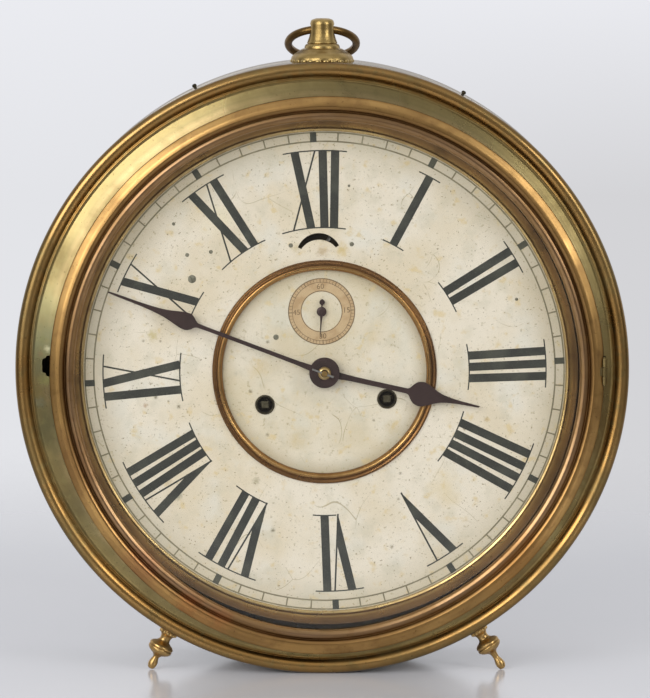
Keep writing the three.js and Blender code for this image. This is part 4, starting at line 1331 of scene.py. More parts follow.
@dataclass
class Case:
    """Drum case: spun front rim, drum, rear plate, nails, pendant with its ring, and two feet.

    The pendant and its ring are measured along the pendant, from the middle of the rim.
    """

    bead_middle: float = 183.0
    bead_radius: float = 4.3
    bead_foot: Point = (178.6, -1.65)
    drum_top: float = 185.0
    pendant_depth: float = 23.5
    bow_height: float = 206.5
    bow_radius: float = 20.9
    bow_wire: float = 2.4
    bow_offset: float = 20.2
    bow_tilt: float = -26.0
    foot_depth: float = 13.0
    foot_beads: int = 14
    foot_bead_row: float = 4.9
    scallops: int = 24
    scallop_row: float = 18.5
    petals: int = 8
    petals_from: float = 10.0
    petal_height: float = 0.45
    dome_foot: float = 2.0
    dome_height: float = 8.0
    nail_depth: float = 84.0

    def rim(self) -> Shell:
        """Shapes the front rim.

        Returns:
            Bead, groove, sloping band and inner flange in one spun sheet, with its latch and hinge slots.
        """
        bead = []
        round_steps, fall_steps = 20, 12
        first, sweep = -35.0, 125.0
        for step in range(round_steps):
            angle = math.radians(first + sweep * step / round_steps)
            across = self.bead_middle + self.bead_radius * math.cos(angle)
            bead.append((across, -self.bead_radius * math.sin(angle), 0.0))
        for step in range(fall_steps + 1):
            share = step / fall_steps
            across = self.bead_middle + (self.bead_foot[0] - self.bead_middle) * share
            rise = (self.bead_radius + self.bead_foot[1]) * math.cos(share * math.pi / 2)
            bead.append((across, self.bead_foot[1] - rise, 0.0))
        corners = [(182.3, 12.0, 0.2), (183.6, 12.0, 0.2), (183.6, 2.4, 0.0), *bead]
        corners += [(178.2, -1.72, 0.3), (177.3, -2.25, 0.5), (175.8, -1.95, 0.9), (164.6, -5.6, 0.9)]
        corners += [(164.6, 15.6, 0.3), (148.5, 15.6, 0.2), (148.5, 16.9, 0.2), (165.9, 16.9, 0.5)]
        corners += [(165.9, -3.84, 0.4), (182.3, 1.3, 0.0)]
        return cut(turned(eased(corners), FACE_STEPS * 2), (self.latch_hole(), self.hinge_slot()))

    def latch_hole(self) -> Shell:
        """Shapes the cutter of the latch slot at nine o'clock.

        Returns:
            A prism with the slot's ragged outline.
        """
        edge = [(-161.0, 9.1), (-166.6, 9.1), (-168.1, 9.0), (-168.4, 7.7), (-170.3, 7.0), (-170.7, 5.4)]
        edge += [(-170.6, -0.8), (-170.2, -1.4), (-168.6, -1.7), (-168.1, -3.4), (-166.8, -3.7)]
        edge += [(-161.0, -3.7)]
        return prism(edge, -9.0, 8.0)

    def hinge_slot(self) -> Shell:
        """Cutter of the narrow slot at three o'clock that the hinge leaf passes through."""
        return prism([(170.95, -8.7), (172.85, -8.7), (172.85, 8.7), (170.95, 8.7)], -8.0, 4.0)

    def drum(self) -> Shell:
        """Shapes the drum wall.

        Returns:
            A thin wall with a rolled rear edge.
        """
        corners = [(184.0, 2.7, 0.0), (185.0, 2.7, 0.3), (185.0, 90.2, 0.8), (186.9, 91.2, 0.7)]
        corners += [(187.3, 92.8, 0.7), (186.6, 94.9, 0.7), (185.0, 95.6, 0.6), (184.0, 94.6, 0.3)]
        return turned(eased(corners), FACE_STEPS * 2)

    def rear_plate(self) -> Shell:
        """Flat plate that closes the back."""
        corners = [(0.0, 91.6, 0.0), (183.2, 91.6, 0.2), (183.2, 92.8, 0.4), (170.0, 92.8, 0.0)]
        return knob([*corners, (0.0, 92.8, 0.0)], FACE_STEPS)

    def nail(self) -> Shell:
        """Shapes a round nail that stands proud of the drum.

        Returns:
            Its shank and head.
        """
        corners = [(0.0, -1.5, 0.0), (0.9, -1.5, 0.0), (0.95, 2.3, 0.2), (1.5, 2.5, 0.2), (1.45, 3.6, 0.3)]
        corners += [(0.7, 4.2, 0.3), (0.0, 4.2, 0.0)]
        return knob(corners, 32)

    def pendant_base(self) -> Shell:
        """Shapes the dome that carries the pendant.

        Returns:
            Flange, dome and a row of scallops round its foot.
        """
        top = self.drum_top
        corners = [(0.0, top - 2.0, 0.0), (18.3, top - 2.0, 0.0), (18.7, top + 1.4, 0.4)]
        corners += [(19.0, top + 3.2, 0.6), (18.2, top + 5.2, 1.0), (16.4, top + 7.0, 1.1)]
        corners += [(14.1, top + 8.4, 1.0), (12.6, top + 9.6, 0.7), (11.2, top + 10.2, 0.3)]
        corners += [(10.8, top + 10.2, 0.1), (0.0, top + 10.2, 0.0)]
        beads = [knob(corners, KNOB_STEPS * 2, self.petal_shift)]
        oval = Matrix.Diagonal((2.2, 1.2, 1.25, 1.0))
        for index in range(self.scallops):
            x, z = clock_point(self.scallop_row, FULL_TURN * (index + 0.5) / self.scallops)
            bead = bmesh.new()
            bmesh.ops.create_uvsphere(bead, u_segments=14, v_segments=10, radius=1.0)
            outward = Matrix.Rotation(math.atan2(x, z), 4, "Y")
            bead.transform(Matrix.Translation((x, top + 2.5, z)) @ outward @ oval)
            beads.append(bead)
        return joined(beads)

    def petal_shift(self, radius: float, depth: float, angle: float) -> float:
        """Tells how far the dome's faint petals stand out.

        Args:
            radius: Radius of the point on the profile.
            depth: Its height along the pendant.
            angle: Its angle round the pendant.

        Returns:
            Outward shift, largest half way up the dome.
        """
        height = (depth - self.drum_top - self.dome_foot) / self.dome_height
        if radius < self.petals_from or not 0.0 < height < 1.0:
            return 0.0
        swell = abs(math.cos(math.radians(self.petals * angle / 2)))
        return self.petal_height * math.sin(math.pi * height) * swell

    def pendant_neck(self) -> Shell:
        """Shapes the pendant's neck.

        Returns:
            Collar, waist and knob, with the hole that the ring passes through.
        """
        corners = [(0.0, 193.6, 0.0), (10.4, 193.6, 0.3), (10.9, 194.8, 0.7), (10.7, 196.6, 0.8)]
        corners += [(9.9, 197.7, 0.5), (9.0, 197.9, 0.2), (9.3, 198.6, 0.3), (8.6, 200.3, 0.8)]
        corners += [(7.7, 203.2, 1.3), (7.4, 206.5, 0.9), (7.4, 210.5, 1.0), (6.7, 212.4, 0.9)]
        corners += [(4.0, 213.4, 0.7), (0.0, 213.5, 0.0)]
        neck = knob(corners, KNOB_STEPS)
        bore = [(0.0, -12.0), (3.3, -12.0), (3.3, 12.0), (0.0, 12.0)]
        hole = turned(bore, HOLE_STEPS, closed=False)
        sideways = Matrix.Rotation(math.pi / 2, 4, "Z")
        hole.transform(Matrix.Translation((0.0, self.bow_height, 0.0)) @ sideways)
        return cut(neck, (hole,))

    def bow(self) -> Shell:
        """Shapes the ring of round wire that hangs in the pendant.

        Returns:
            The ring round its own middle.
        """
        shell = bmesh.new()
        sides = 20
        rings = []
        for step in range(RING_STEPS):
            angle = FULL_TURN * step / RING_STEPS
            x, z = clock_point(self.bow_radius, angle)
            outward = Vector((x, z)).normalized()
            ring = []
            for side in range(sides):
                turn = math.tau * side / sides
                across = self.bow_wire * math.cos(turn)
                depth = self.bow_wire * math.sin(turn)
                ring.append(shell.verts.new((x + outward.x * across, depth, z + outward.y * across)))
            rings.append(ring)
        for first, second in zip(rings, rings[1:] + rings[:1]):
            for side in range(sides):
                after = (side + 1) % sides
                shell.faces.new((first[side], second[side], second[after], first[after]))
        return shell

    def foot(self, reach: float) -> Shell:
        """Shapes one turned foot along its own axis.

        Args:
            reach: Length from the drum to the table.

        Returns:
            Beaded flange, waist, bulge, slim stem and tip.
        """
        corners = [(0.0, -1.6, 0.0), (4.8, -1.6, 0.1), (5.3, 0.0, 0.5), (5.4, 3.4, 0.5), (4.9, 5.6, 0.6)]
        corners += [(3.7, 6.9, 0.7), (3.15, 8.8, 0.8), (3.5, 10.6, 0.7), (4.9, 11.7, 0.6), (6.7, 12.6, 0.6)]
        corners += [(7.6, 13.7, 0.5), (7.7, 14.6, 0.3), (7.2, 15.1, 0.2), (7.7, 15.7, 0.3)]
        corners += [(7.6, 16.7, 0.5), (6.7, 18.0, 0.8), (4.9, 19.1, 0.8), (2.9, 20.1, 0.7)]
        corners += [(2.05, 21.3, 0.5), (1.75, reach - 8.9, 0.6), (2.75, reach - 5.4, 1.1)]
        corners += [(2.8, reach - 3.5, 0.9), (1.9, reach - 1.3, 0.6), (0.0, reach - 0.6, 0.0)]
        beads = [knob(corners, KNOB_STEPS)]
        oval = Matrix.Diagonal((1.0, 1.3, 1.0, 1.0))
        for index in range(self.foot_beads):
            x, z = clock_point(self.foot_bead_row, FULL_TURN * index / self.foot_beads)
            bead = bmesh.new()
            bmesh.ops.create_uvsphere(bead, u_segments=10, v_segments=8, radius=1.0)
            bead.transform(Matrix.Translation((x, 4.7, z)) @ oval)
            beads.append(bead)
        return joined(beads)

    def add_foot(self, name: str, side: int, angle: float, lean: float) -> None:
        """Adds one foot under the drum.

        Args:
            name: Name of the CAD node that it replaces.
            side: 1 on the right, -1 on the left.
            angle: Angle of its root from six o'clock in degrees.
            lean: Outward lean in degrees.
        """
        x, z = clock_point(self.drum_top, side * (180.0 - angle))
        reach = (RIM_HEIGHT + z) / math.cos(math.radians(lean))
        move = Matrix.Translation((x, self.foot_depth, z))
        down = Matrix.Rotation(math.radians(-side * lean), 4, "Y") @ ALONG_Z.inverted()
        matrix = CASE.matrix() @ move @ down
        add_piece("turned_" + name, self.foot(reach), matrix, Body.CASE, FOOT_BRASS, (name,))

    def build(self) -> None:
        """Adds every piece of the case."""
        here = CASE.matrix()
        add_piece("spun_rim", self.rim(), here, Body.CASE, RIM_BRASS, ("front_rim",))
        add_piece("drum_wall", self.drum(), here, Body.CASE, NICKEL, ("drum",))
        add_piece("back_cover", self.rear_plate(), here, Body.CASE, NICKEL, ("rear_plate",))
        for name, angle in (("nail_left", -25.2), ("nail_right", 28.1)):
            x, z = clock_point(self.drum_top, angle)
            up = Matrix.Rotation(math.radians(angle), 4, "Y") @ ALONG_Z
            root = here @ Matrix.Translation((x, self.nail_depth, z))
            add_piece(name, self.nail(), root @ up, Body.CASE, HOLE_STEEL)
        upright = here @ Matrix.Translation((0.0, self.pendant_depth, 0.0)) @ ALONG_Z
        pendant = (
            ("scalloped_dome", self.pendant_base(), "pendant_base"),
            ("pendant_knob", self.pendant_neck(), "pendant_neck"),
        )
        for name, shell, node in pendant:
            add_piece(name, shell, upright, Body.CASE, TURNED_BRASS, (node,))
        tilt = Matrix.Rotation(math.radians(self.bow_tilt), 4, "X")
        axis = Matrix.Translation((0.0, self.pendant_depth, self.bow_height))
        ring = here @ axis @ tilt @ Matrix.Translation((0.0, self.bow_offset, 0.0)) @ ALONG_Z
        add_piece("wire_bow", self.bow(), ring, Body.BOW, BOW_BRASS, ("bow",))
        self.add_foot("foot_left", side=-1, angle=30.1, lean=26.9)
        self.add_foot("foot_right", side=1, angle=30.6, lean=32.8)


@dataclass
class Door:
    """Hinged door: spun bezel that has sagged out of round, flat glass, catch and hinge."""

    lip_right: float = 1.1
    lip_down: float = 1.5
    sag: float = 3.8
    sag_angle: float = 186.0
    sag_width: float = 22.0
    hinge_relief: float = 1.3
    hinge_width: float = 3.0
    hinge_angle: float = 90.0
    skirt: Point = (160.1, 162.1)
    skirt_front: float = -6.2
    outer_bead_from: float = 165.0
    knuckle_x: float = 170.1
    knuckle_depth: float = -7.2

    def out_of_round(self, radius: float, depth: float, angle: float) -> float:
        """Tells how far the lip stands out of round.

        Args:
            radius: Radius of the point on the profile.
            depth: Its depth.
            angle: Its clockwise angle.

        Returns:
            Outward shift; none on the skirt that holds the glass.
        """
        if self.skirt[0] < radius < self.skirt[1] and depth > self.skirt_front:
            return 0.0
        low = (angle - self.sag_angle) / self.sag_width
        turn = math.radians(angle)
        moved = self.lip_right * math.sin(turn) - self.lip_down * math.cos(turn)
        hinge = (angle - self.hinge_angle) / self.hinge_width
        relief = self.hinge_relief * math.exp(-hinge ** 4) if radius > self.outer_bead_from else 0.0
        return moved + self.sag * math.exp(-low * low / 2) - relief

    def bezel(self) -> Shell:
        """Shapes the bezel.

        Returns:
            A spun ring with two beads and a skirt that holds the glass.
        """
        corners = [(169.0, -6.1, 0.3), (168.9, -7.1, 0.4), (165.0, -9.1, 1.6), (162.5, -9.6, 1.0)]
        corners += [(160.9, -8.6, 0.6), (159.9, -6.9, 0.4), (158.8, -7.9, 0.8), (156.9, -8.5, 1.0)]
        corners += [(154.6, -7.4, 0.9), (153.9, -5.6, 0.4), (153.9, -4.8, 0.2), (160.2, -4.8, 0.0)]
        corners += [(160.2, 1.0, 0.2), (162.0, 1.0, 0.2), (162.0, -6.1, 0.0)]
        return turned(eased(corners), FACE_STEPS * 2, warp=self.out_of_round)

    def hinge_knuckle(self) -> Shell:
        """Shapes the door's half of the hinge.

        Returns:
            Its middle knuckle with its leaf.
        """
        tube = [(0.9, -2.6), (1.35, -2.6), (1.5, -2.4), (1.5, 2.4), (1.35, 2.6), (0.9, 2.6)]
        knuckle = turned(tube, HEAD_STEPS)
        knuckle.transform(Matrix.Translation((self.knuckle_x, self.knuckle_depth, 0.0)) @ ALONG_Z)
        leaf = prism([(166.7, -2.6), (169.2, -2.6), (169.2, 2.6), (166.7, 2.6)], -7.8, -6.6)
        return joined((knuckle, leaf))

    def build(self) -> None:
        """Adds the bezel and its knuckle; the glass and the catch keep their CAD shapes."""
        here = DOOR.matrix()
        add_piece("spun_bezel", self.bezel(), here, Body.DOOR, BEZEL_BRASS, ("door_bezel",))
        add_piece("bezel_knuckle", self.hinge_knuckle(), here, Body.DOOR, RIM_BRASS)


@dataclass(frozen=True)
class Numeral:
    """Strokes of one Roman numeral.

    Each stroke is the angle of its outer end and that of its inner end, from the numeral's middle. In a
    pointed one, the first broad stroke and the fine stroke meet in a point, as in a V.
    """

    thick: tuple[Point, ...]
    thin: tuple[Point, ...] = ()
    foot: Point | None = None
    pointed: bool = False


NUMERALS: tuple[Numeral, ...] = (
    Numeral(((1.0, 1.0),), foot=(1.0, 1.0)),
    Numeral(((-0.5, -1.0), (3.0, 3.5)), foot=(-1.0, 3.5)),
    Numeral(((-2.75, -3.75), (0.5, 0.75), (3.75, 5.25)), foot=(-3.75, 5.25)),
    Numeral(((-5.25, -6.75), (-1.75, -2.0), (1.5, 2.25), (5.0, 6.5)), foot=(-6.75, 6.5)),
    Numeral(((-3.0, 0.25),), ((2.0, 0.75),), pointed=True),
    Numeral(((-4.5, -3.0), (2.0, 2.75)), ((0.0, -2.25),), foot=(2.75, 2.75), pointed=True),
    Numeral(((-6.0, -4.25), (0.75, 1.0), (4.5, 5.75)), ((-1.25, -3.25),), foot=(1.0, 5.75), pointed=True),
    Numeral(
        ((-7.5, -6.5), (-1.0, -1.0), (2.25, 3.25), (5.5, 7.5)),
        ((-3.0, -4.75),),
        foot=(-1.0, 7.5),
        pointed=True,
    ),
    Numeral(((-3.75, -4.25), (-0.25, 5.75)), ((4.25, -0.75),), foot=(-4.25, 5.75)),
    Numeral(((-3.0, 1.75),), ((2.0, -4.75),), foot=(-4.75, 1.75)),
    Numeral(((-4.0, -0.5), (2.75, 4.0)), ((0.75, -7.5),), foot=(-7.5, 4.0)),
    Numeral(((-5.0, -2.5), (2.25, 2.75), (5.5, 6.5)), ((0.25, -9.5),), foot=(-9.5, 6.5)),
)


@dataclass
class Dial:
    """Dial: brass surround, painted plate, numerals, minute track, recessed centre and seconds dial.

    The sizes below are those of the plates, the arched slot, the numerals, the minute track, the seconds
    dial and the one slotted screw, in that order.
    """

    front: float = 14.0
    back: float = 15.2
    edge: float = 156.0
    opening: float = 66.0
    centre_front: float = 15.5
    centre_back: float = 16.7
    centre_edge: float = 68.4
    hand_hole: float = 5.4
    seconds_hole: float = 2.2
    key_hole: float = 5.5
    winding: Point = (37.5, -18.6)
    slot_middle: float = 70.0
    slot_radius: float = 13.4
    slot_half: float = 1.2
    slot_swell: float = 0.85
    slot_angle: float = 60.0
    numeral_outer: float = 135.9
    numeral_inner: float = 88.8
    thick_stroke: float = 5.1
    thin_stroke: float = 1.05
    serif: float = 0.8
    serif_reach: float = 4.7
    overlap: float = 0.6
    thin_lift: float = 0.8 * PAINT
    line_lift: float = 0.6 * PAINT
    sunk: float = PAINT / 2
    track_outer: float = 147.0
    track_inner: float = 141.5
    track_half: float = 0.47
    tick_width: float = 0.9
    block_width: float = 3.9
    block_reach: float = 0.3
    paper_outer: float = 20.5
    paper_inner: float = 12.3
    paper_front: float = 15.32
    print_front: float = 15.29
    print_back: float = 15.36
    screw_turn: float = 35.0

    def surround(self) -> Shell:
        """Shapes the surround.

        Returns:
            Sloping brass ring between the dial and the door, with a fine lip at its inner edge.
        """
        corners = [(147.8, 13.8, 0.1), (147.9, 12.9, 0.25), (148.4, 12.3, 0.3), (149.6, 11.8, 0.3)]
        corners += [(150.3, 12.1, 0.2), (150.7, 11.2, 0.2), (151.4, 10.5, 0.3), (155.0, 5.9, 0.3)]
        corners += [(155.6, 6.5, 0.2), (151.0, 13.8, 0.2)]
        return turned(eased(corners), FACE_STEPS * 2)

    def regulator_slot(self) -> list[Point]:
        """Draws the arched slot under twelve.

        Returns:
            Outline of a crescent, widest in its middle.
        """
        steps = 24
        outer = []
        inner = []
        for step in range(steps + 1):
            share = 2 * step / steps - 1
            angle = self.slot_angle * share
            half = self.slot_half + self.slot_swell * math.cos(share * math.pi / 2)
            for side, line in ((1, outer), (-1, inner)):
                x, z = clock_point(self.slot_radius + side * half, angle)
                line.append((x, self.slot_middle + z))
        return outer + inner[::-1]

    def plate(self) -> Shell:
        """Painted dial plate with its centre opening and the regulator slot."""
        rounds = [circle(radius, FACE_STEPS) for radius in (self.edge, self.opening)]
        return sheet((*rounds, self.regulator_slot()), self.front, self.back)

    def centre_plate(self) -> Shell:
        """Cuts the recessed centre plate.

        Returns:
            The plate, with holes for the hands and the keys.
        """
        outlines = [circle(self.centre_edge, FACE_STEPS), circle(self.hand_hole, HOLE_STEPS)]
        outlines.append(circle(self.seconds_hole, HOLE_STEPS // 2, (0.0, SECONDS_HEIGHT)))
        for side in (-1, 1):
            outlines.append(circle(self.key_hole, HOLE_STEPS, (side * self.winding[0], self.winding[1])))
        return sheet(outlines, self.centre_front, self.centre_back)

    def centre_ring(self) -> Shell:
        """Shapes the raised moulding round the centre.

        Returns:
            A ring with a cove outside and a bead inside.
        """
        corners = [(68.9, 13.9, 0.1), (68.7, 12.9, 0.3), (68.0, 12.3, 0.35), (66.5, 12.7, 0.5)]
        corners += [(65.6, 11.7, 0.5), (64.6, 11.3, 0.6), (63.3, 12.2, 0.6), (62.6, 13.6, 0.4)]
        corners += [(62.5, 15.4, 0.1), (65.2, 15.4, 0.1), (65.2, 13.9, 0.1)]
        return turned(eased(corners), FACE_STEPS * 2)

    def stroke(self, start: Point, end: Point, width: float, lift: float) -> Shell:
        """Draws one straight stroke.

        Args:
            start: Middle of its outer end.
            end: Middle of its inner end.
            width: Its width.
            lift: How far it stands off the dial.

        Returns:
            The painted stroke.
        """
        return bar(Vector(start), Vector(end), width, self.front - lift, self.front + self.sunk)

    def wedge(self, middle: float, thick: Point, thin: Point) -> list[Shell]:
        """Draws a V: a broad stroke that narrows to a point, and the fine stroke that meets it there.

        Args:
            middle: Clockwise angle of the numeral.
            thick: Angles of the outer and inner end of the broad stroke.
            thin: Angles of the outer and inner end of the fine stroke.

        Returns:
            The two painted strokes.
        """
        start = Vector(clock_point(self.numeral_outer, middle + thick[0]))
        fine = Vector(clock_point(self.numeral_outer, middle + thin[0]))
        tip = Vector(clock_point(self.numeral_inner - self.overlap, middle + (thick[1] + thin[1]) / 2))
        inward = (tip - start).normalized()
        half = Vector((-inward.y, inward.x)) * self.thick_stroke / 2
        edge = tip - (start - half)
        fork = intersect_line_line_2d(start + half, start + half + edge, fine, tip)
        outline = [tuple(corner) for corner in (start - half, tip, fork, start + half)]
        broad = prism(outline, self.front - PAINT, self.front + self.sunk)
        return [broad, self.stroke(tuple(fine), tuple(tip), self.thin_stroke, self.thin_lift)]

    def serif_line(self, radius: float, start: float, end: float) -> Shell:
        """Draws a fine line along the ends of the strokes.

        Args:
            radius: Its radius.
            start: First clockwise angle.
            end: Last clockwise angle.

        Returns:
            The painted line.
        """
        outer = arc(radius + self.serif / 2, start, end, 12)
        inner = arc(radius - self.serif / 2, start, end, 12)
        return prism(outer + inner[::-1], self.front - self.line_lift, self.front + self.sunk)

    def numeral(self, hour: int, shape: Numeral) -> Shell:
        """Draws one Roman numeral with its foot towards the middle of the dial.

        Args:
            hour: The hour.
            shape: Its strokes.

        Returns:
            The painted numeral.
        """
        middle = hour * HOUR_TURN
        parts = self.wedge(middle, shape.thick[0], shape.thin[0]) if shape.pointed else []
        plain = shape.thick[1:] if shape.pointed else shape.thick
        crossing = () if shape.pointed else shape.thin
        for strokes, width, lift in (
            (plain, self.thick_stroke, PAINT),
            (crossing, self.thin_stroke, self.thin_lift),
        ):
            for outer, inner in strokes:
                start = clock_point(self.numeral_outer, middle + outer)
                end = clock_point(self.numeral_inner, middle + inner)
                parts.append(self.stroke(start, end, width, lift))
        heads = [outer for outer, _ in shape.thick + shape.thin]
        ends = [(self.numeral_outer, min(heads), max(heads))]
        if shape.foot:
            ends.append((self.numeral_inner, *shape.foot))
        for radius, low, high in ends:
            spare = math.degrees((self.thick_stroke / 2 + self.serif_reach) / radius)
            parts.append(self.serif_line(radius, middle + low - spare, middle + high + spare))
        return joined(parts)

    def track_lines(self) -> Shell:
        """Draws the closed minute track.

        Returns:
            Two circles and a tick at each minute that has no broad mark.
        """
        parts = []
        front, back = self.front - self.line_lift, self.front + self.sunk
        for radius in (self.track_outer, self.track_inner):
            inner, outer = radius - self.track_half, radius + self.track_half
            profile = [(inner, front), (outer, front), (outer, back), (inner, back)]
            parts.append(turned(profile, FACE_STEPS))
        for minute in range(60):
            if minute % 5:
                start = clock_point(self.track_outer, minute * MINUTE_TURN)
                end = clock_point(self.track_inner, minute * MINUTE_TURN)
                parts.append(self.stroke(start, end, self.tick_width, self.thin_lift))
        return joined(parts)

    def track_blocks(self) -> Shell:
        """Draws the broad marks of the minute track.

        Returns:
            A mark at every fifth minute.
        """
        parts = []
        for hour in range(12):
            start = clock_point(self.track_outer + self.block_reach, hour * HOUR_TURN)
            end = clock_point(self.track_inner - self.block_reach, hour * HOUR_TURN)
            parts.append(self.stroke(start, end, self.block_width, PAINT))
        return joined(parts)

    def seconds_paper(self) -> Shell:
        """Paper ring of the seconds dial."""
        rounds = (circle(self.paper_outer, RING_STEPS), circle(self.paper_inner, HOLE_STEPS * 2))
        return sheet(rounds, self.paper_front, self.centre_front + self.sunk)

    def seconds_print(self) -> Shell:
        """Draws the printing of the seconds dial.

        Returns:
            Three circles, a tick each second and plain figures.
        """
        front, back = self.print_front, self.print_back
        outer, middle, inner = 20.25, 18.0, 12.6
        fine, broad = 0.24, 0.52
        figure_size = 4.7
        parts = []
        for radius, half in ((outer, 0.28), (middle, 0.16), (inner, 0.24)):
            low, high = radius - half, radius + half
            profile = [(low, front), (high, front), (high, back), (low, back)]
            parts.append(turned(profile, RING_STEPS))
        for second in range(60):
            width, foot = (fine, middle) if second % 5 else (broad, middle - 0.4)
            start = Vector(clock_point(outer - 0.05, second * MINUTE_TURN))
            end = Vector(clock_point(foot, second * MINUTE_TURN))
            parts.append(bar(start, end, width, front - 0.02, back))
        for text, angle in (("60", 0.0), ("15", 90.0), ("30", 180.0), ("45", 270.0)):
            place = clock_point((middle + inner) / 2, angle)
            parts.append(figures(text, figure_size, place, front - 0.01, back))
        return joined(parts)

    def grommet(self) -> Shell:
        """Shapes the bush of a winding hole.

        Returns:
            A short tube with a rounded rim.
        """
        corners = [(6.1, 15.6, 0.1), (5.9, 14.7, 0.3), (5.3, 14.4, 0.3), (4.7, 14.9, 0.3), (4.6, 18.0, 0.1)]
        corners += [(5.1, 18.0, 0.1), (5.1, 15.6, 0.1)]
        return turned(eased(corners), KNOB_STEPS)

    def pin_head(self, radius: float, slot: bool) -> Shell:
        """Shapes the low round head of a screw or dial pin.

        Args:
            radius: Its radius.
            slot: Whether a worn screw slot is cut across it.

        Returns:
            The head.
        """
        corners = [(0.0, 0.1, 0.0), (radius, 0.1, 0.0), (radius, -0.1, 0.08), (radius * 0.75, -0.28, 0.2)]
        corners += [(0.0, -0.32, 0.0)]
        head = knob(corners, HEAD_STEPS)
        if not slot:
            return head
        reach = 9.0
        half = 0.35
        groove = prism([(-reach, -half), (reach, -half), (reach, half), (-reach, half)], -1.0, -0.12)
        groove.transform(Matrix.Rotation(math.radians(self.screw_turn), 4, "Y"))
        return cut(head, (groove,))

    def build(self) -> None:
        """Adds every piece of the dial."""
        here = DIAL.matrix()
        case, gilt, paint = Body.CASE, Slot.GILT, Slot.DIAL_PAINT
        add_piece("sloping_surround", self.surround(), here, case, SURROUND_BRASS, ("dial_surround",))
        add_piece("painted_plate", self.plate(), here, case, PLATE_PAINT, ("dial_plate",))
        add_piece("centre_moulding", self.centre_ring(), here, case, RING_BRASS, ("centre_ring",))
        add_piece("painted_centre", self.centre_plate(), here, case, CENTRE_PAINT, ("centre_plate",))
        for index, shape in enumerate(NUMERALS):
            hour = index + 1
            add_piece(f"numeral_{hour}", self.numeral(hour, shape), here, case, NUMERAL_PAINT)
        add_piece("minute_track", self.track_lines(), here, case, TRACK_INK)
        add_piece("five_minute_marks", self.track_blocks(), here, case, BLOCK_INK)
        seconds = here @ Matrix.Translation((0.0, 0.0, SECONDS_HEIGHT))
        add_piece("seconds_paper", self.seconds_paper(), seconds, case, PAPER, ("seconds_ring",))
        add_piece("seconds_print", self.seconds_print(), seconds, case, SECONDS_INK)
        for name, side in (("left", -1), ("right", 1)):
            spot = here @ Matrix.Translation((side * self.winding[0], 0.0, self.winding[1]))
            node = "winding_grommet_" + name
            add_piece("winding_bush_" + name, self.grommet(), spot, case, HOLE_STEEL, (node,))
        heads = (
            ("dial_screw_outer", -78.3, 61.0, 2.5, True, self.front),
            ("dial_screw_inner", -28.7, 22.7, 1.7, False, self.centre_front),
            ("dial_pin_1", -16.9, 78.7, 1.35, False, self.front),
            ("dial_pin_2", 20.4, 77.7, 1.35, False, self.front),
            ("dial_pin_3", -87.8, 95.3, 1.0, False, self.front),
            ("dial_pin_4", -80.5, 75.9, 1.2, False, self.front),
            ("dial_pin_5", -65.9, 77.1, 1.2, False, self.front),
            ("dial_pin_6", 119.6, 39.1, 1.0, False, self.front),
            ("dial_pin_7", 20.4, 113.5, 0.8, False, self.front),
        )
        for name, x, z, radius, slot, depth in heads:
            spot = here @ Matrix.Translation((x, depth, z))
            add_piece(name, self.pin_head(radius, slot), spot, case, PIN_STEEL)


# Reach and half width along each hand, from its hub to its point.
MINUTE_ARM: tuple[Point, ...] = (
    (8.6, 1.9), (14.0, 1.6), (22.0, 1.35), (60.0, 1.2), (80.0, 1.25), (84.0, 1.9), (86.5, 4.0), (89.0, 5.2),
    (92.5, 5.1), (97.0, 4.1), (104.0, 2.4), (112.0, 1.5), (122.0, 1.0), (135.0, 0.75), (141.5, 0.45),
)
HOUR_ARM: tuple[Point, ...] = (
    (8.6, 2.2), (14.0, 1.8), (22.0, 1.6), (48.0, 1.6), (52.5, 1.9), (54.6, 4.2), (57.0, 6.6), (60.5, 7.6),
    (64.0, 6.8), (68.5, 4.6), (74.0, 2.5), (82.0, 1.3), (90.0, 0.85), (97.6, 0.5),
)


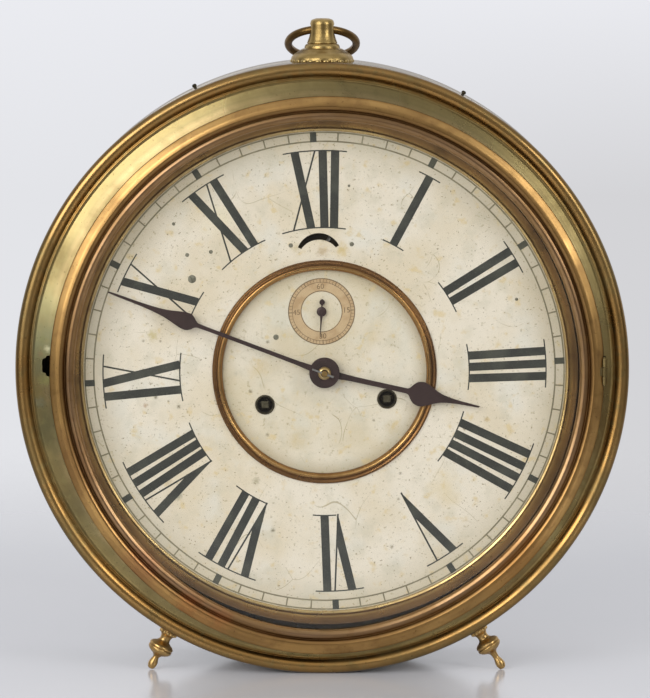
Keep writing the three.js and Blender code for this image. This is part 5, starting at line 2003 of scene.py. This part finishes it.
@dataclass
class Hands:
    """Hour, minute and seconds hands with the collet that holds them."""

    minute_angle: float = 293.4
    hour_angle: float = 105.3
    seconds_angle: float = 186.0
    hub: float = 9.3
    broken_edge: float = 0.12
    crease: float = 20.0

    def blade(self, hub: float, arm: Sequence[Point], bore: float, front: float, back: float) -> Shell:
        """Shapes a pear-and-point hand.

        Args:
            hub: Radius of its hub.
            arm: Reach and half width along its arm, from hub to point.
            bore: Radius of the hole in its hub.
            front: Depth of its front.
            back: Depth of its back.

        Returns:
            The hand, pointing at twelve.
        """
        side = [(width, reach) for reach, width in flowing(arm)]
        start = math.degrees(math.asin(side[0][0] / hub))
        rim = arc(hub, start, FULL_TURN - start, 64)
        left = [(-width, reach) for width, reach in side if reach > side[0][1]]
        right = [(width, reach) for width, reach in side if reach > side[0][1]]
        outline = rim + left + right[-2::-1]
        return sheet((outline, circle(bore, HOLE_STEPS)), front, back, self.broken_edge)

    def seconds_blade(self) -> Shell:
        """Shapes the fine seconds hand.

        Returns:
            The hand with its counterweight and its boss, pointing at twelve.
        """
        tail = [(-2.9, 0.5), (-4.0, 0.5), (-5.0, 1.5), (-6.2, 1.65), (-7.2, 1.0), (-7.8, 0.0)]
        tip = [(3.0, 0.8), (6.0, 0.5), (15.8, 0.12)]
        right = [(width, reach) for reach, width in tip]
        left = [(-width, reach) for reach, width in reversed(tip)]
        tail_left = [(-width, reach) for reach, width in flowing(tail, 3)]
        tail_right = [(width, reach) for reach, width in reversed(flowing(tail, 3)[:-1])]
        hub = 3.0
        hub_right = arc(hub, 16.0, 170.0, 16)
        hub_left = arc(hub, 190.0, 344.0, 16)
        outline = right + left + hub_left[::-1] + tail_left + tail_right + hub_right[::-1]
        boss = [(0.0, 12.5, 0.0), (1.6, 12.5, 0.5), (2.8, 12.9, 0.3), (2.9, 13.4, 0.1), (0.0, 13.4, 0.0)]
        blade = sheet((outline,), 13.0, 13.5)
        return joined((blade, knob(boss, HEAD_STEPS)))

    def collet(self) -> Shell:
        """Domed brass collet that presses the minute hand home."""
        corners = [(4.0, 6.7, 0.1), (4.0, 5.1, 0.5), (3.1, 4.2, 0.4), (2.3, 3.9, 0.15), (2.3, 6.7, 0.1)]
        return turned(eased(corners), KNOB_STEPS)

    def build(self) -> None:
        """Adds the hands and the collet."""
        here = DIAL.matrix()
        hands = (
            ("minute_blade", self.minute_angle, MINUTE_ARM, 3.3, 6.9, 7.6, Body.CENTRE, "minute_hand"),
            ("hour_blade", self.hour_angle, HOUR_ARM, 4.9, 9.5, 10.4, Body.HOUR, "hour_hand"),
        )
        for name, angle, arm, bore, front, back, body, node in hands:
            turn = here @ Matrix.Rotation(math.radians(angle), 4, "Y")
            shell = self.blade(self.hub, arm, bore, front, back)
            add_piece(name, shell, turn, body, BLUED_STEEL, (node,), self.crease)
        axis = Matrix.Translation((0.0, 0.0, SECONDS_HEIGHT))
        turn = here @ axis @ Matrix.Rotation(math.radians(self.seconds_angle), 4, "Y")
        blade, node = self.seconds_blade(), "seconds_hand"
        add_piece("seconds_blade", blade, turn, Body.SECONDS, BLUED_STEEL, (node,), self.crease)
        collet, node = self.collet(), "hand_collet"
        add_piece("brass_collet", collet, here, Body.CENTRE, COLLET_BRASS, (node,))


@dataclass
class Movement:
    """Movement behind the dial, and the few outside CAD shapes that are kept: each gets its finish."""

    def build(self) -> None:
        """Dresses every CAD node by its name or its material slot."""
        slots = {part["node"]: part["material_slot"] for part in frame["record"]["subparts"]}
        for name, node in frame["nodes"].items():
            finish = BY_NODE.get(name, BY_SLOT[slots[name]])
            node.data.materials.clear()
            node.data.materials.append(finish.material())
        LOG.info("%d CAD nodes dressed", len(frame["nodes"]))


@dataclass
class Studio:
    """Pale table, pale room, four soft lamps and the camera."""

    camera_place: tuple[float, float, float] = (1.7, -2629.5, 449.0)
    camera_aim: tuple[float, float, float] = (1.7, -41.5, 199.8)
    lens: float = 219.7
    sensor: float = 36.0
    fade_from: float = 350.0
    fade_to: float = 1200.0

    def lamp(
        self, name: str, place: tuple[float, float, float], size: Point, power: float, mirrored: bool = True
    ) -> None:
        """Adds one soft white lamp aimed at the clock.

        Args:
            name: Name of the lamp.
            place: Where it stands, in metres.
            size: Its width and height in metres.
            power: Its power in watts.
            mirrored: Whether glass and metal mirror it.
        """
        light = bpy.data.lights.new(name, "AREA")
        light.shape = "RECTANGLE"
        light.size, light.size_y = size
        light.energy = power
        holder = bpy.data.objects.new(name, light)
        holder.location = place
        aim = Vector((0.0, 0.0, RIM_HEIGHT * MM)) - Vector(place)
        holder.rotation_euler = aim.to_track_quat("-Z", "Y").to_euler()
        holder.visible_camera = False
        holder.visible_glossy = mirrored
        bpy.context.scene.collection.objects.link(holder)

    def table(self) -> None:
        """Adds the pale table top, a little glossy, which fades into the room far from the clock."""
        mesh = bpy.data.meshes.new("table_top")
        corners = [(-4.0, -4.0, 0.0), (4.0, -4.0, 0.0), (4.0, 1.2, 0.0), (-4.0, 1.2, 0.0)]
        mesh.from_pydata(corners, [], [(0, 1, 2, 3)])
        surface = Surface("pale satin table top", {"Metallic": 0.0, "Specular IOR Level": 0.4})
        uneven = surface.blotches(400.0, 0.3, 0.7)
        colour = surface.tint("#d9d9dd", "#d3d4d9", uneven)
        mesh.materials.append(surface.done(colour, surface.level(uneven, 0.13, 0.17)))
        tree = surface.tree
        reach = vector_maths(tree, "LENGTH", surface.point).outputs["Value"]
        surface.let_through(ramp(tree, reach, self.fade_from, self.fade_to))
        table = bpy.data.objects.new("table_top", mesh)
        bpy.context.scene.collection.objects.link(table)

    def room(self) -> None:
        """Sets the world: pale to the eye and behind the clock, dimmer in front of it."""
        world = bpy.data.worlds.new("studio room")
        bpy.context.scene.world = world
        world.use_nodes = True
        tree = world.node_tree
        coordinates = add_node(tree, "ShaderNodeTexCoord")
        x, y, z = add_node(tree, "ShaderNodeSeparateXYZ", {0: coordinates.outputs[0]}).outputs
        horizon, horizon_blur = -0.06, 0.05
        side_blur = 0.07
        height = ramp(tree, z, -0.1, 0.6, smooth=False)
        stops = [(0.0, "#7b7671"), (0.35, "#6c6965"), (1.0, "#b2b2b4")]
        room = add_node(tree, "ShaderNodeValToRGB", {0: height}, stops=stops).outputs[0]
        rays = add_node(tree, "ShaderNodeLightPath").outputs
        seen = maths(tree, "MAXIMUM", rays["Is Camera Ray"], rays["Is Transmission Ray"])
        mirrored = maths(tree, "MULTIPLY", rays["Is Glossy Ray"], ramp(tree, y, 0.0, 0.5))
        low = blend(tree, ramp(tree, x, -side_blur, side_blur), "#e3e4e8", "#d4d4d7")
        upward = ramp(tree, z, horizon, horizon + horizon_blur, smooth=False)
        wall = blend(tree, upward, low, "#ebecf1")
        colour = blend(tree, maths(tree, "MAXIMUM", seen, mirrored), room, wall)
        background = tree.nodes["Background"]
        tree.links.new(colour, background.inputs["Color"])
        background.inputs["Strength"].default_value = 1.0

    def camera(self) -> None:
        """Adds the camera at the photograph's viewing angle."""
        lens = bpy.data.cameras.new("camera")
        lens.lens = self.lens
        lens.sensor_fit = "VERTICAL"
        lens.sensor_height = self.sensor
        lens.clip_end = 100.0
        camera = bpy.data.objects.new("camera", lens)
        place = Vector(self.camera_place) * MM
        aim = Vector(self.camera_aim) * MM - place
        camera.matrix_world = Matrix.Translation(place) @ aim.to_track_quat("-Z", "Y").to_matrix().to_4x4()
        bpy.context.scene.collection.objects.link(camera)
        bpy.context.scene.camera = camera

    def build(self) -> None:
        """Adds the studio."""
        self.camera()
        self.table()
        self.room()
        self.lamp("softbox_upper_left", (-1.42, -1.95, 1.08), (1.7, 1.5), 35.0)
        self.lamp("softbox_right", (1.65, -1.6, 1.1), (0.75, 1.0), 13.0)
        self.lamp("softbox_top", (0.0, -0.8, 2.3), (3.0, 2.0), 6.0)
        self.lamp("softbox_front", (-0.2, -3.3, 0.75), (2.4, 1.4), 40.0, mirrored=False)
        bpy.context.scene.view_settings.view_transform = "Standard"


def main() -> None:
    """Builds the clock's pieces in order, then the studio."""
    logging.basicConfig(level=logging.INFO, format="%(name)s %(message)s")
    Movement().build()
    Case().build()
    Door().build()
    Dial().build()
    Hands().build()
    Studio().build()


if __name__ == "__main__":
    main()
